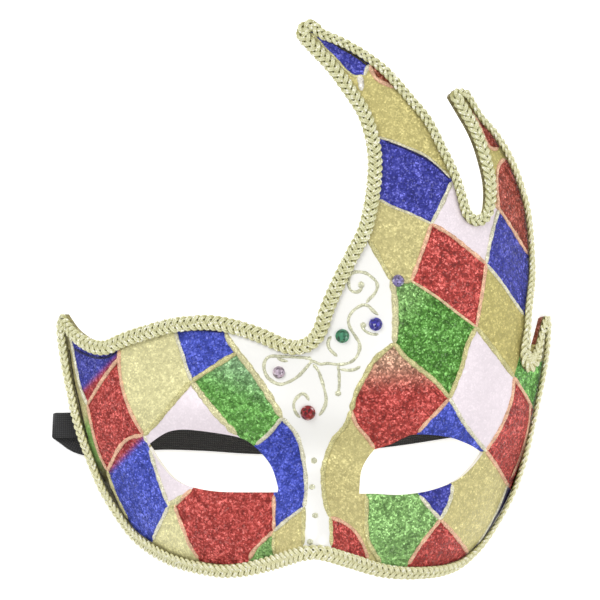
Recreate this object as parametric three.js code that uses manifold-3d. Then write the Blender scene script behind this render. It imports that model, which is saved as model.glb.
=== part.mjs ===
// Venetian half mask with a flame crest, lying face up on its side rims.
// Millimetres, +Z up. The face looks along +Z, its own left-to-right runs along X as seen from the front,
// and the crest points along +Y. Shapes are worked out about the bridge of the nose, and the finished
// group is then moved so that its origin is at the middle of its footprint, on the surface it lies on.

import * as THREE from "three";
import { mergeVertices } from "three/addons/utils/BufferGeometryUtils.js";
import { ConvexGeometry } from "three/addons/geometries/ConvexGeometry.js";
import Module from "manifold-3d";

const wasm = await Module();
wasm.setup();

// Shell
const WALL = 1.6;
const FACE_DEPTH = 60;
const CREST_DEPTH = 46;
const CREST_START_Y = 40;
const CREST_TOP_Y = 172;
const RIM_WRAP = 0.29;
const LEFT_POWER = 2;
const RIGHT_POWER = 2.3;
const LEFT_HALF_WIDTH = 91.1;
const RIGHT_HALF_WIDTH = 82.6;
const WIDEST_LEFT_Y = 52;
const WIDEST_RIGHT_Y = 55;
const LEFT_TAPER = 0.00445;
const RIGHT_TAPER = 0.0034;
const CREST_NARROWING = 5.3;
const CREST_NARROW_FROM_Y = 50;
const CREST_NARROW_TO_Y = 80;
const CREST_TAPER = 0.006;
const CREST_TAPER_Y = 84;
const STRAP_ARCH = 3.4;
const STRAP_ARCH_Y = 14.5;
const STRAP_ARCH_SPREAD = 11;
const CHIN_ROLL_Y = -22;
const CHIN_ROLL = 0.012;

// The middle of the mask's footprint, as worked out about the bridge of the nose
const FOOTPRINT_MIDDLE = [-5.11, 60.73];

// Nose
const NOSE_HEIGHT = 15;
const NOSE_SPREAD = 7.2;
const NOSE_EXTRA_SPREAD = 2;
const NOSE_FULL_Y = -26;
const NOSE_TOP_Y = 7;

// Soft swellings and hollows of the face: height, middle and spread
const SWELLINGS = [
  { name: "hollow of the bridge", height: -2.2, x: 0, y: 8, spreadX: 11, spreadY: 8 },
  { name: "left eye socket", height: -3.2, x: -37, y: 2, spreadX: 19, spreadY: 9 },
  { name: "right eye socket", height: -3.2, x: 37.5, y: 2, spreadX: 19, spreadY: 9 },
  { name: "left brow", height: 2.6, x: -35, y: 20, spreadX: 22, spreadY: 6 },
  { name: "right brow", height: 2.6, x: 36, y: 19, spreadX: 22, spreadY: 6 },
  { name: "left cheek", height: 3, x: -41, y: -21, spreadX: 16, spreadY: 10 },
  { name: "right cheek", height: 3, x: 41, y: -21, spreadX: 15, spreadY: 10 },
  { name: "forehead", height: 2, x: 4, y: 46, spreadX: 36, spreadY: 22 },
];

// Mesh
const SHEET_SCALE = 90;
const SHEET_REACH = 1.5 * SHEET_SCALE;
const SHEET_BOTTOM_Y = -46;
const SHEET_TOP_Y = 168;
const GRID_STEP = 6.6;
const NOSE_GRID_STEP = 3.2;
const NOSE_GRID_REACH = 16;
const OUTLINE_STEP = 4.4;
const SLAB_HALF = 10;
const SLAB_CROWN = 0.0015;
const PRISM_HALF = 60;
const NORMAL_PROBE = 0.05;
const WELD_DISTANCE = 1e-4;
const NEARLY_UPRIGHT = 0.9995;
const TRIM_BOX = 200;
const EDGE_ROUNDS = 5;

// Trim
const BRAID_WIDTH = 5.6;
const BRAID_THICKNESS = 1.5;
const TRIM_GAP = 0.45;
const BRAID_LIFT = 0.7;

// Stick-on stones: name, place on the face, radius and colour
const STONES = [
  { name: "gem_clear", x: -13.2, y: 35, radius: 2.2, colour: 0xb9a9b8 },
  { name: "gem_red", x: -2.9, y: 20.7, radius: 2.7, colour: 0x6b0d12 },
  { name: "gem_green", x: 9.3, y: 47.9, radius: 2.5, colour: 0x2f6b4c },
  { name: "gem_blue", x: 21.1, y: 52.1, radius: 2.4, colour: 0x1e1a78 },
  { name: "gem_lavender", x: 29.1, y: 67.5, radius: 2.2, colour: 0x6d6288 },
];
const STONE_HEIGHT = 0.72;
const STONE_SIDES = 10;
// From the middle of the back to the middle of the flat top, in parts of the radius and of the height
const STONE_PROFILE = [[0, 0], [1, 0], [1, 0.2], [0.74, 0.72], [0.42, 1], [0, 1]];

// Elastic band
const STRAP_WIDTH = 9;
const STRAP_THICKNESS = 0.8;
const STRAP_EDGE_ROUND = 0.24;
const STRAP_STEPS = 56;

// The outline of the mask over its braid as seen from the front, in stretches that meet at corners.
const OUTLINE = [
  // top of the brow, from the left temple to the underside of the horn
  [
    [-91.6, 55.6], [-87.1, 49.9], [-81.2, 46.2], [-76, 45.4], [-70.7, 47.9], [-61, 51.2], [-50.4, 53.9],
    [-37.9, 54.8], [-27, 52.7], [-17.9, 49.6], [-11.4, 46.6], [-6.8, 45.8], [-2.9, 47.3], [-0.3, 50.8],
    [1.8, 57.9], [6.1, 67.9], [11.1, 77.9], [15, 85], [17.1, 92.1], [18.9, 103.6], [18.9, 114.3],
    [16.1, 125.4], [11.4, 133.2], [4.6, 142.5], [-2.9, 150.4], [-6, 153.6], [-6.8, 156.1],
  ],
  // blunt tip of the horn
  [[-6.8, 156.1], [-5.7, 158.6], [-2.1, 160.2], [0.5, 159.3], [1.4, 156.8]],
  // top of the crest, the notch, and the inner edge of the second flame
  [
    [1.4, 156.8], [10.4, 153.2], [20, 147.5], [26.8, 142.1], [33.6, 134.3], [40.7, 125.7], [45.7, 116.1],
    [50.4, 106.4], [52.9, 99.3], [55, 92.3], [57.2, 90], [61, 92.2], [61.7, 101.8], [59.3, 112.9],
    [56.3, 120.9], [51.9, 128.6], [48.7, 134],
  ],
  // blunt tip of the second flame
  [[48.7, 134], [49.5, 135.5], [52, 136.1], [54.8, 135.8]],
  // outer edge of the crest down to the second notch
  [
    [54.8, 135.8], [59.3, 127.5], [65, 121.1], [69.8, 113.7], [73.4, 105.4], [76.4, 95.7], [78.1, 83.9],
    [78.6, 69.6], [77.2, 57.1], [76.7, 46.4], [77.1, 38.6],
  ],
  // inner edge of the third flame, and its blunt tip
  [[77.1, 38.6], [79.7, 43.4], [81.4, 48.8], [82.9, 54.5]],
  [[82.9, 54.5], [83.7, 55.2], [84.5, 54.3]],
  // right rim, from the third flame to the lower right cheek
  [
    [84.5, 54.3], [83.9, 42.9], [82.2, 32.1], [80, 22], [77.6, 10.6], [74.8, -0.2], [70.9, -10.3],
    [65.6, -20.1], [59.4, -28.8], [51.9, -35.3], [44.3, -38],
  ],
  // lower edge, over both cheeks and under the nose
  [
    [44.3, -38], [33.6, -38.6], [22.9, -37.5], [12.1, -34], [1.4, -31], [-5.7, -31.6],
    [-14.6, -34.6], [-23.6, -37.1], [-32.5, -38.2], [-41.4, -37.1], [-50.4, -35], [-57.5, -31.8],
  ],
  // left rim, up to the temple
  [
    [-57.5, -31.8], [-65.4, -26.1], [-71.8, -17.9], [-78.2, -7.1], [-82.9, 4.6], [-86.8, 16.1],
    [-89.3, 26.8], [-91.4, 37.5], [-92.9, 48.2], [-92.9, 53.4], [-91.6, 55.6],
  ],
];

// The eye openings, in stretches that meet at the corners of the eye.
const LEFT_EYE = [
  [
    [-60, 8.9], [-55.7, 12.1], [-51.4, 14.1], [-45, 14.5], [-32.5, 12.9], [-26.1, 11.3], [-21.4, 8.2],
    [-16.1, 1.8], [-13.6, -5.7], [-13.7, -7.6],
  ],
  [[-13.7, -7.6], [-19.3, -7.7], [-35, -7.5], [-45, -5.7], [-50.4, -3.2], [-54.6, 1.1], [-58.6, 6.8], [-60, 8.9]],
];
const RIGHT_EYE = [
  [[20.7, 7.5], [26.4, 9.3], [30.7, 11.4], [35.4, 12.9], [46.1, 12.1], [54.3, 9.3], [59.6, 6.1]],
  [
    [59.6, 6.1], [55.7, 1.1], [50, -3.6], [40.7, -7.1], [30, -8.6], [21.1, -8.2], [15.4, -8.2],
  ],
  [[15.4, -8.2], [15.4, -6.1], [16.1, 0], [18.2, 4.3], [20.7, 7.5]],
];

// The band's route: from the inner wall at the left temple, out under the rim, folded back, and along the
// surface below the eyes to the inner wall on the right.
const STRAP_ROUTE = [
  [-72.7, 16.2, 15], [-75.5, 16.2, 12], [-78, 16.2, 9], [-79.7, 16.1, 6.2], [-82.6, 16, 4],
  [-87, 15.9, 3.2], [-91.8, 15.8, 3], [-94.1, 15.8, 2], [-92.6, 15.3, 1.1], [-89.4, 13.2, 0.8],
  [-85.4, 10.4, 0.65], [-80, 9.1, 0.6], [-71, 9.6, 0.6], [-58, 11.4, 0.6], [-42, 11.2, 0.6],
  [-22, 10, 0.6], [-4, 10, 0.6], [14, 11.2, 0.6], [31, 13.2, 0.6], [46.4, 15.6, 0.6], [58.2, 17.4, 0.75],
  [65.2, 18.2, 1.7], [69.8, 18.6, 3.8], [71.1, 18.7, 6.8], [70.3, 18.8, 9.8], [68.6, 18.9, 12.8],
];

function smoothStep(from, to, value) {
  return THREE.MathUtils.smoothstep(value, from, to);
}

function swellingAt(swelling, x, y) {
  const across = (x - swelling.x) / swelling.spreadX;
  const along = (y - swelling.y) / swelling.spreadY;
  return swelling.height * Math.exp(-0.5 * (across * across + along * along));
}

// How far the side of the shell reaches from the middle line where it would meet the surface below.
function sideReach(side, y) {
  if (side < 0) {
    const below = Math.max(0, WIDEST_LEFT_Y - y);
    const arch = STRAP_ARCH * Math.exp(-(((y - STRAP_ARCH_Y) / STRAP_ARCH_SPREAD) ** 2));
    return LEFT_HALF_WIDTH - LEFT_TAPER * below * below + arch;
  }
  const below = Math.max(0, WIDEST_RIGHT_Y - y);
  const narrowed = CREST_NARROWING * smoothStep(CREST_NARROW_FROM_Y, CREST_NARROW_TO_Y, y);
  const above = Math.max(0, y - CREST_TAPER_Y);
  return RIGHT_HALF_WIDTH - RIGHT_TAPER * below * below - narrowed - CREST_TAPER * above * above;
}

function sidePower(side) {
  return side < 0 ? LEFT_POWER : RIGHT_POWER;
}

// The half-width at which the rounded section would stand upright.
function sectionHalfWidth(side, y) {
  const power = sidePower(side);
  const rimFraction = (1 - RIM_WRAP ** power) ** (1 / power);
  return sideReach(side, y) / rimFraction;
}

// Nose, brows, eye sockets, cheeks and forehead, as heights added to the rounded section.
function features(x, y) {
  const noseGrowth = 1 - smoothStep(NOSE_FULL_Y, NOSE_TOP_Y, y);
  const noseSpread = NOSE_SPREAD + NOSE_EXTRA_SPREAD * noseGrowth;
  const nose = NOSE_HEIGHT * noseGrowth * Math.exp(-0.5 * (x / noseSpread) ** 2);
  return SWELLINGS.reduce((height, swelling) => height + swellingAt(swelling, x, y), nose);
}

// A point of the front of the shell. The angle runs round the section, from the middle line at 0.
function frontPoint(angle, y) {
  const side = angle < 0 ? -1 : 1;
  const reach = Math.abs(Math.sin(angle));
  const power = sidePower(side);
  const x = side * sectionHalfWidth(side, y) * reach;
  const wrap = (1 - reach ** power) ** (1 / power);
  const depth = FACE_DEPTH - (FACE_DEPTH - CREST_DEPTH) * smoothStep(CREST_START_Y, CREST_TOP_Y, y);
  const belowChin = Math.max(0, CHIN_ROLL_Y - y);
  const z = depth * (wrap - RIM_WRAP) + features(x, y) - CHIN_ROLL * belowChin * belowChin;
  return new THREE.Vector3(x, y, z);
}

function angleAt(x, y) {
  const side = x < 0 ? -1 : 1;
  return side * Math.asin(Math.min(NEARLY_UPRIGHT, Math.abs(x) / sectionHalfWidth(side, y)));
}

function frontNormal(angle, y) {
  const step = NORMAL_PROBE / SHEET_SCALE;
  const alongAngle = frontPoint(angle + step, y).sub(frontPoint(angle - step, y));
  const alongY = frontPoint(angle, y + NORMAL_PROBE).sub(frontPoint(angle, y - NORMAL_PROBE));
  return alongAngle.cross(alongY).normalize();
}

// Points at an even step along stretches of smooth curve. Each stretch ends on a corner.
function sampledLoop(stretches, step) {
  const loop = [];
  for (const stretch of stretches) {
    const curve = new THREE.SplineCurve(stretch.map(([x, y]) => new THREE.Vector2(x, y)));
    const count = Math.max(1, Math.round(curve.getLength() / step));
    loop.push(...curve.getSpacedPoints(count).slice(0, count));
  }
  return loop;
}

function solidOf(geometry) {
  const bare = geometry.index ? geometry.toNonIndexed() : geometry.clone();
  bare.deleteAttribute("normal");
  bare.deleteAttribute("uv");
  const merged = mergeVertices(bare, WELD_DISTANCE);
  const mesh = new wasm.Mesh({
    numProp: 3,
    vertProperties: new Float32Array(merged.attributes.position.array),
    triVerts: new Uint32Array(merged.index.array),
  });
  return new wasm.Manifold(mesh);
}

// The one body of a cut that matters, without the slivers that a cut may leave at a sharp corner.
function largestBody(solid) {
  return solid.decompose().reduce((most, body) => (body.volume() > most.volume() ? body : most));
}

function geometryOf(solid) {
  const mesh = solid.getMesh();
  const geometry = new THREE.BufferGeometry();
  const positions = new Float32Array((mesh.vertProperties.length / mesh.numProp) * 3);
  for (let i = 0; i < positions.length / 3; i++) {
    for (let axis = 0; axis < 3; axis++) positions[3 * i + axis] = mesh.vertProperties[mesh.numProp * i + axis];
  }
  geometry.setAttribute("position", new THREE.BufferAttribute(positions, 3));
  geometry.setIndex([...mesh.triVerts]);
  return geometry;
}

// The flat sheet has the angle, scaled to millimetres, along its X, and the mask's own Y along its Y.
function sheetPoint(point) {
  return new THREE.Vector2(angleAt(point.x, point.y) * SHEET_SCALE, point.y);
}

function prism(sheetLoop) {
  const shape = new THREE.Shape(sheetLoop);
  const geometry = new THREE.ExtrudeGeometry(shape, { depth: 2 * PRISM_HALF, bevelEnabled: false });
  geometry.translate(0, 0, -PRISM_HALF);
  return solidOf(geometry);
}

function gridLines(from, to, denseReach) {
  const lines = [];
  let at = from;
  while (at < to) {
    lines.push(at);
    at += Math.abs(at) < denseReach ? NOSE_GRID_STEP : GRID_STEP;
  }
  lines.push(to);
  return lines;
}

// A thick sheet with a grid on both faces. It is very slightly crowned, so that no grid point lies flat
// among its neighbours and all of them last through the cuts.
function griddedSlab() {
  const columns = gridLines(-SHEET_REACH, SHEET_REACH, NOSE_GRID_REACH);
  const rows = gridLines(SHEET_BOTTOM_Y, SHEET_TOP_Y, 0);
  const crown = (x, y) => -SLAB_CROWN * (x * x + y * y);
  const positions = [];
  for (const face of [SLAB_HALF, -SLAB_HALF]) {
    for (const y of rows) for (const x of columns) positions.push(x, y, face + crown(x, y));
  }
  const width = columns.length;
  const layer = width * rows.length;
  const index = [];
  const quad = (a, b, c, d) => index.push(a, b, c, a, c, d);
  for (let j = 0; j < rows.length - 1; j++) {
    for (let i = 0; i < width - 1; i++) {
      const a = j * width + i;
      quad(a, a + 1, a + 1 + width, a + width);
      quad(layer + a, layer + a + width, layer + a + 1 + width, layer + a + 1);
    }
  }
  const wall = (a, b) => quad(a, layer + a, layer + b, b);
  for (let i = 0; i < width - 1; i++) {
    wall(i, i + 1);
    wall(layer - 1 - i, layer - 2 - i);
  }
  for (let j = 0; j < rows.length - 1; j++) {
    wall((j + 1) * width, j * width);
    wall((j + 1) * width - 1, (j + 2) * width - 1);
  }
  const geometry = new THREE.BufferGeometry();
  geometry.setAttribute("position", new THREE.BufferAttribute(new Float32Array(positions), 3));
  geometry.setIndex(index);
  return solidOf(geometry);
}

// Wraps a cut piece of the flat sheet onto the front of the shell, between two offsets from it.
function wrapped(sheetSolid, outerOffset, innerOffset) {
  const geometry = geometryOf(sheetSolid);
  const position = geometry.attributes.position;
  for (let i = 0; i < position.count; i++) {
    const angle = position.getX(i) / SHEET_SCALE;
    const y = position.getY(i);
    const height = position.getZ(i) + SLAB_CROWN * (position.getX(i) ** 2 + y * y);
    const offset = height > 0 ? outerOffset : innerOffset;
    const point = frontPoint(angle, y).addScaledVector(frontNormal(angle, y), offset);
    position.setXYZ(i, point.x, point.y, point.z);
  }
  return solidOf(geometry);
}

// Cuts a wrapped piece off level, at a height above the surface that the mask lies on.
function trimmedBelow(solid, height) {
  const box = new THREE.BoxGeometry(2 * TRIM_BOX, 4 * TRIM_BOX, TRIM_BOX);
  box.translate(0, 0, TRIM_BOX / 2 + height);
  return largestBody(solid.intersect(solidOf(box)));
}

function material(name, color, roughness, metalness) {
  return new THREE.MeshStandardMaterial({ name, color, roughness, metalness });
}

// The shell's own edge, inside the outline by as much as the braid stands out sideways.
function underBraid(outline) {
  const standing = TRIM_GAP + BRAID_THICKNESS;
  return outline.map((point) => {
    const edge = point.clone();
    for (let round = 0; round < EDGE_ROUNDS; round++) {
      const normal = frontNormal(angleAt(edge.x, edge.y), edge.y);
      edge.set(point.x - standing * normal.x, point.y - standing * normal.y);
    }
    return edge;
  });
}

function makeShell(slab, edge) {
  let cut = slab.intersect(prism(edge.map(sheetPoint)));
  for (const eye of [LEFT_EYE, RIGHT_EYE]) {
    cut = cut.subtract(prism(sampledLoop(eye, OUTLINE_STEP).map(sheetPoint)));
  }
  const shell = trimmedBelow(wrapped(cut, 0, -WALL), 0);
  const mesh = new THREE.Mesh(geometryOf(shell), material("painted_front", 0xf4f2ee, 0.45, 0));
  mesh.name = "mask_shell";
  return mesh;
}

// A point of the shell's edge moved along the face, away from the edge, by the width of the braid.
function movedInward(loop, i) {
  const onFront = (point) => frontPoint(angleAt(point.x, point.y), point.y);
  const here = loop[i];
  const before = onFront(loop[(i + loop.length - 1) % loop.length]);
  const after = onFront(loop[(i + 1) % loop.length]);
  const normal = frontNormal(angleAt(here.x, here.y), here.y);
  const inward = normal.cross(after.sub(before)).normalize();
  return onFront(here).addScaledVector(inward, BRAID_WIDTH);
}

function makeBraid(slab, edge) {
  const windsLeft = THREE.ShapeUtils.area(edge) > 0;
  const loop = windsLeft ? edge : [...edge].reverse();
  const outer = loop.map(sheetPoint);
  const inner = loop.map((point, i) => sheetPoint(movedInward(loop, i)));
  const pads = outer.map((point, i) => {
    const next = (i + 1) % outer.length;
    const corners = [outer[i], outer[next], inner[next], inner[i]];
    const level = (height) => corners.map((corner) => new THREE.Vector3(corner.x, corner.y, height));
    return solidOf(new ConvexGeometry([...level(-PRISM_HALF), ...level(PRISM_HALF)]));
  });
  const band = wasm.Manifold.union(pads).intersect(prism(outer)).intersect(slab);
  const braid = trimmedBelow(wrapped(band, TRIM_GAP + BRAID_THICKNESS, TRIM_GAP), BRAID_LIFT);
  const mesh = new THREE.Mesh(geometryOf(braid), material("gold_gimp", 0xd8cf86, 0.5, 0.6));
  mesh.name = "braid_trim";
  return mesh;
}

function makeStone({ name, x, y, radius, colour }) {
  const height = STONE_HEIGHT * radius;
  const points = STONE_PROFILE.map(([across, up]) => new THREE.Vector2(across * radius, up * height));
  const stone = new THREE.LatheGeometry(points, STONE_SIDES);
  stone.rotateX(Math.PI / 2);
  const mesh = new THREE.Mesh(stone, material(name, colour, 0.1, 0));
  const angle = angleAt(x, y);
  const normal = frontNormal(angle, y);
  mesh.name = name;
  mesh.quaternion.setFromUnitVectors(new THREE.Vector3(0, 0, 1), normal);
  mesh.position.copy(frontPoint(angle, y)).addScaledVector(normal, TRIM_GAP);
  return mesh;
}

// A flat band along the route. Its width stays as near to Y as its direction lets it.
function makeStrap() {
  const route = new THREE.CatmullRomCurve3(STRAP_ROUTE.map((point) => new THREE.Vector3(...point)));
  const halfWidth = STRAP_WIDTH / 2;
  const halfThickness = STRAP_THICKNESS / 2;
  const round = STRAP_EDGE_ROUND;
  const section = [
    [halfWidth, -round], [halfWidth, round], [halfWidth - round, halfThickness],
    [-halfWidth + round, halfThickness], [-halfWidth, round], [-halfWidth, -round],
    [-halfWidth + round, -halfThickness], [halfWidth - round, -halfThickness],
  ];
  const sides = section.length;
  const positions = [];
  for (let i = 0; i <= STRAP_STEPS; i++) {
    const centre = route.getPointAt(i / STRAP_STEPS);
    const along = route.getTangentAt(i / STRAP_STEPS);
    const across = new THREE.Vector3(0, 1, 0).addScaledVector(along, -along.y).normalize();
    const up = new THREE.Vector3().crossVectors(along, across);
    for (const [width, thickness] of section) {
      const point = centre.clone().addScaledVector(across, width).addScaledVector(up, thickness);
      positions.push(point.x, point.y, point.z);
    }
  }
  const index = [];
  for (let i = 0; i < STRAP_STEPS; i++) {
    for (let k = 0; k < sides; k++) {
      const a = i * sides + k;
      const b = i * sides + ((k + 1) % sides);
      index.push(a, b, b + sides, a, b + sides, a + sides);
    }
  }
  const last = STRAP_STEPS * sides;
  for (let k = 1; k < sides - 1; k++) {
    index.push(0, k + 1, k);
    index.push(last, last + k, last + k + 1);
  }
  const geometry = new THREE.BufferGeometry();
  geometry.setAttribute("position", new THREE.BufferAttribute(new Float32Array(positions), 3));
  geometry.setIndex(index);
  const mesh = new THREE.Mesh(geometry, material("black_elastic", 0x1c1c1e, 0.85, 0));
  mesh.name = "strap";
  return mesh;
}

const slab = griddedSlab();
const edge = underBraid(sampledLoop(OUTLINE, OUTLINE_STEP));
const mask = new THREE.Group();
mask.add(makeShell(slab, edge), makeBraid(slab, edge), ...STONES.map(makeStone), makeStrap());
mask.position.set(-FOOTPRINT_MIDDLE[0], -FOOTPRINT_MIDDLE[1], 0);

export default mask;
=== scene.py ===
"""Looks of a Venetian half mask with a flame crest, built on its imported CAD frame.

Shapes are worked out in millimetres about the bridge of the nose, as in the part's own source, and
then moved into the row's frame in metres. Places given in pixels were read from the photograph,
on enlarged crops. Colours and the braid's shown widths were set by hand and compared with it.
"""

import math

import bmesh
import bpy
import numpy as np
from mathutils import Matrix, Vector
from mathutils.geometry import delaunay_2d_cdt
from mathutils.kdtree import KDTree


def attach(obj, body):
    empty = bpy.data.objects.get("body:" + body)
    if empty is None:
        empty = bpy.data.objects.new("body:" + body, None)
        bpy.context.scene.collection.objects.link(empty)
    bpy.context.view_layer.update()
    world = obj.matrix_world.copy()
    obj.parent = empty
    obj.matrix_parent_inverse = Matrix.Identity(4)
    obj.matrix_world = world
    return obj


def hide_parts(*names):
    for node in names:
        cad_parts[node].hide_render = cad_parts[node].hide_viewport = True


MM = 0.001

# Shell, as in the part's source
WALL = 1.6
FACE_DEPTH = 60
CREST_DEPTH = 46
CREST_START_Y = 40
CREST_TOP_Y = 172
RIM_WRAP = 0.29
LEFT_POWER = 2
RIGHT_POWER = 2.3
LEFT_HALF_WIDTH = 91.1
RIGHT_HALF_WIDTH = 82.6
WIDEST_LEFT_Y = 52
WIDEST_RIGHT_Y = 55
LEFT_TAPER = 0.00445
RIGHT_TAPER = 0.0034
CREST_NARROWING = 5.3
CREST_NARROW_FROM_Y = 50
CREST_NARROW_TO_Y = 80
CREST_TAPER = 0.006
CREST_TAPER_Y = 84
STRAP_ARCH = 3.4
STRAP_ARCH_Y = 14.5
STRAP_ARCH_SPREAD = 11
CHIN_ROLL_Y = -22
CHIN_ROLL = 0.012
FOOTPRINT_MIDDLE = (-5.11, 60.73)
NOSE_HEIGHT = 15
NOSE_SPREAD = 7.2
NOSE_EXTRA_SPREAD = 2
NOSE_FULL_Y = -26
NOSE_TOP_Y = 7
# Height, middle and spread of each soft swelling or hollow of the face
SWELLINGS = [
    (-2.2, 0, 8, 11, 8),
    (-3.2, -37, 2, 19, 9),
    (-3.2, 37.5, 2, 19, 9),
    (2.6, -35, 20, 22, 6),
    (2.6, 36, 19, 22, 6),
    (3, -41, -21, 16, 10),
    (3, 41, -21, 15, 10),
    (2, 4, 46, 36, 22),
]
SHEET_SCALE = 90
NORMAL_PROBE = 0.05
NEARLY_UPRIGHT = 0.9995
EDGE_ROUNDS = 5
CURVE_STEPS = 24
BRAID_WIDTH = 5.6
BRAID_THICKNESS = 1.5
TRIM_GAP = 0.45

# Outline over the braid as seen from the front, in stretches that meet at corners
OUTLINE = [
    [
        (-91.6, 55.6), (-87.1, 49.9), (-81.2, 46.2), (-76, 45.4), (-70.7, 47.9), (-61, 51.2), (-50.4, 53.9),
        (-37.9, 54.8), (-27, 52.7), (-17.9, 49.6), (-11.4, 46.6), (-6.8, 45.8), (-2.9, 47.3), (-0.3, 50.8),
        (1.8, 57.9), (6.1, 67.9), (11.1, 77.9), (15, 85), (17.1, 92.1), (18.9, 103.6), (18.9, 114.3),
        (16.1, 125.4), (11.4, 133.2), (4.6, 142.5), (-2.9, 150.4), (-6, 153.6), (-6.8, 156.1),
    ],
    [(-6.8, 156.1), (-5.7, 158.6), (-2.1, 160.2), (0.5, 159.3), (1.4, 156.8)],
    [
        (1.4, 156.8), (10.4, 153.2), (20, 147.5), (26.8, 142.1), (33.6, 134.3), (40.7, 125.7), (45.7, 116.1),
        (50.4, 106.4), (52.9, 99.3), (55, 92.3), (57.2, 90), (61, 92.2), (61.7, 101.8), (59.3, 112.9),
        (56.3, 120.9), (51.9, 128.6), (48.7, 134),
    ],
    [(48.7, 134), (49.5, 135.5), (52, 136.1), (54.8, 135.8)],
    [
        (54.8, 135.8), (59.3, 127.5), (65, 121.1), (69.8, 113.7), (73.4, 105.4), (76.4, 95.7), (78.1, 83.9),
        (78.6, 69.6), (77.2, 57.1), (76.7, 46.4), (77.1, 38.6),
    ],
    [(77.1, 38.6), (79.7, 43.4), (81.4, 48.8), (82.9, 54.5)],
    [(82.9, 54.5), (83.7, 55.2), (84.5, 54.3)],
    [
        (84.5, 54.3), (83.9, 42.9), (82.2, 32.1), (80, 22), (77.6, 10.6), (74.8, -0.2), (70.9, -10.3),
        (65.6, -20.1), (59.4, -28.8), (51.9, -35.3), (44.3, -38),
    ],
    [
        (44.3, -38), (33.6, -38.6), (22.9, -37.5), (12.1, -34), (1.4, -31), (-5.7, -31.6),
        (-14.6, -34.6), (-23.6, -37.1), (-32.5, -38.2), (-41.4, -37.1), (-50.4, -35), (-57.5, -31.8),
    ],
    [
        (-57.5, -31.8), (-65.4, -26.1), (-71.8, -17.9), (-78.2, -7.1), (-82.9, 4.6), (-86.8, 16.1),
        (-89.3, 26.8), (-91.4, 37.5), (-92.9, 48.2), (-92.9, 53.4), (-91.6, 55.6),
    ],
]
LEFT_EYE = [
    [
        (-60, 8.9), (-55.7, 12.1), (-51.4, 14.1), (-45, 14.5), (-32.5, 12.9), (-26.1, 11.3), (-21.4, 8.2),
        (-16.1, 1.8), (-13.6, -5.7), (-13.7, -7.6),
    ],
    [
        (-13.7, -7.6), (-19.3, -7.7), (-35, -7.5), (-45, -5.7), (-50.4, -3.2), (-54.6, 1.1), (-58.6, 6.8),
        (-60, 8.9),
    ],
]
RIGHT_EYE = [
    [(20.7, 7.5), (26.4, 9.3), (30.7, 11.4), (35.4, 12.9), (46.1, 12.1), (54.3, 9.3), (59.6, 6.1)],
    [(59.6, 6.1), (55.7, 1.1), (50, -3.6), (40.7, -7.1), (30, -8.6), (21.1, -8.2), (15.4, -8.2)],
    [(15.4, -8.2), (15.4, -6.1), (16.1, 0), (18.2, 4.3), (20.7, 7.5)],
]

# Stick-on stones: place, radius and colour
STONES = {
    "gem_clear": (-13.2, 35, 2.2, (168, 152, 166)),
    "gem_red": (-2.9, 20.7, 2.7, (120, 12, 20)),
    "gem_green": (9.3, 47.9, 2.5, (58, 120, 90)),
    "gem_blue": (21.1, 52.1, 2.4, (36, 30, 130)),
    "gem_lavender": (29.1, 67.5, 2.2, (106, 97, 140)),
}
STONE_HEIGHT = 0.72

# Elastic band, as in the part's source
STRAP_WIDTH = 9
STRAP_THICKNESS = 0.8
STRAP_EDGE_ROUND = 0.24
STRAP_ROUTE = [
    (-72.7, 16.2, 15), (-75.5, 16.2, 12), (-78, 16.2, 9), (-79.7, 16.1, 6.2), (-82.6, 16, 4),
    (-87, 15.9, 3.2), (-91.8, 15.8, 3), (-94.1, 15.8, 2), (-92.6, 15.3, 1.1), (-89.4, 13.2, 0.8),
    (-85.4, 10.4, 0.65), (-80, 9.1, 0.6), (-71, 9.6, 0.6), (-58, 11.4, 0.6), (-42, 11.2, 0.6),
    (-22, 10, 0.6), (-4, 10, 0.6), (14, 11.2, 0.6), (31, 13.2, 0.6), (46.4, 15.6, 0.6), (58.2, 17.4, 0.75),
    (65.2, 18.2, 1.7), (69.8, 18.6, 3.8), (71.1, 18.7, 6.8), (70.3, 18.8, 9.8), (68.6, 18.9, 12.8),
]

# The photograph's scale, and the pixel at the bridge of the nose
PIXELS_PER_MM = 2.8
BRIDGE_PIXEL = (316, 470)
FRAME_PIXELS = 600

# Paints, as screen colours
PAINTS = {
    "white": (247, 246, 242),
    "pale": (240, 229, 235),
    "red": (182, 68, 62),
    "brown red": (160, 68, 54),
    "crimson": (166, 54, 58),
    "rust brown": (138, 70, 46),
    "blue": (62, 66, 162),
    "bright blue": (68, 82, 188),
    "dark navy": (54, 48, 98),
    "green": (90, 149, 60),
    "mid green": (106, 168, 78),
    "light green": (136, 182, 106),
    "grey green": (138, 180, 130),
    "dusty rose": (204, 162, 134),
    "gold": (204, 194, 134),
    "light gold": (223, 217, 163),
    "deep gold": (193, 182, 114),
    "crest gold": (201, 190, 124),
    "strip gold": (188, 180, 130),
    "strip green": (128, 166, 90),
    # Painted shade for the left strip's lower end
    "strip painted shade": (92, 86, 50),
    "rim gold": (140, 132, 82),
    # Painted shade on the cut edge
    "rim painted shade": (104, 96, 54),
    "gold glue": (210, 203, 146),
    "broad gold glue": (219, 213, 166),
    "fine gold glue": (212, 206, 152),
    "scroll glue": (214, 214, 184),
    "peach glue": (234, 186, 154),
    "fine peach glue": (232, 200, 160),
    "cream glue": (226, 222, 196),
    "fine cream glue": (220, 214, 182),
    "broad cream glue": (240, 236, 226),
    # Painted shadow: dark bead colours for where the braid's shade falls beside it
    "painted shadow": (62, 56, 36),
    "painted navy shadow": (34, 32, 84),
}

# How strongly the glitter of a paint shows
GLITTERS = {
    "white": 0, "pale": 0.12, "red": 1.6, "brown red": 1.6, "crimson": 1.4, "rust brown": 1.2, "blue": 1.3,
    "bright blue": 1.4, "dark navy": 0.4, "green": 1.7, "mid green": 1.7, "light green": 1.6,
}
GOLD_GLITTER = 0.55
RIM_PAINT = "rim gold"
BARE_PAINT = "deep gold"

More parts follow.
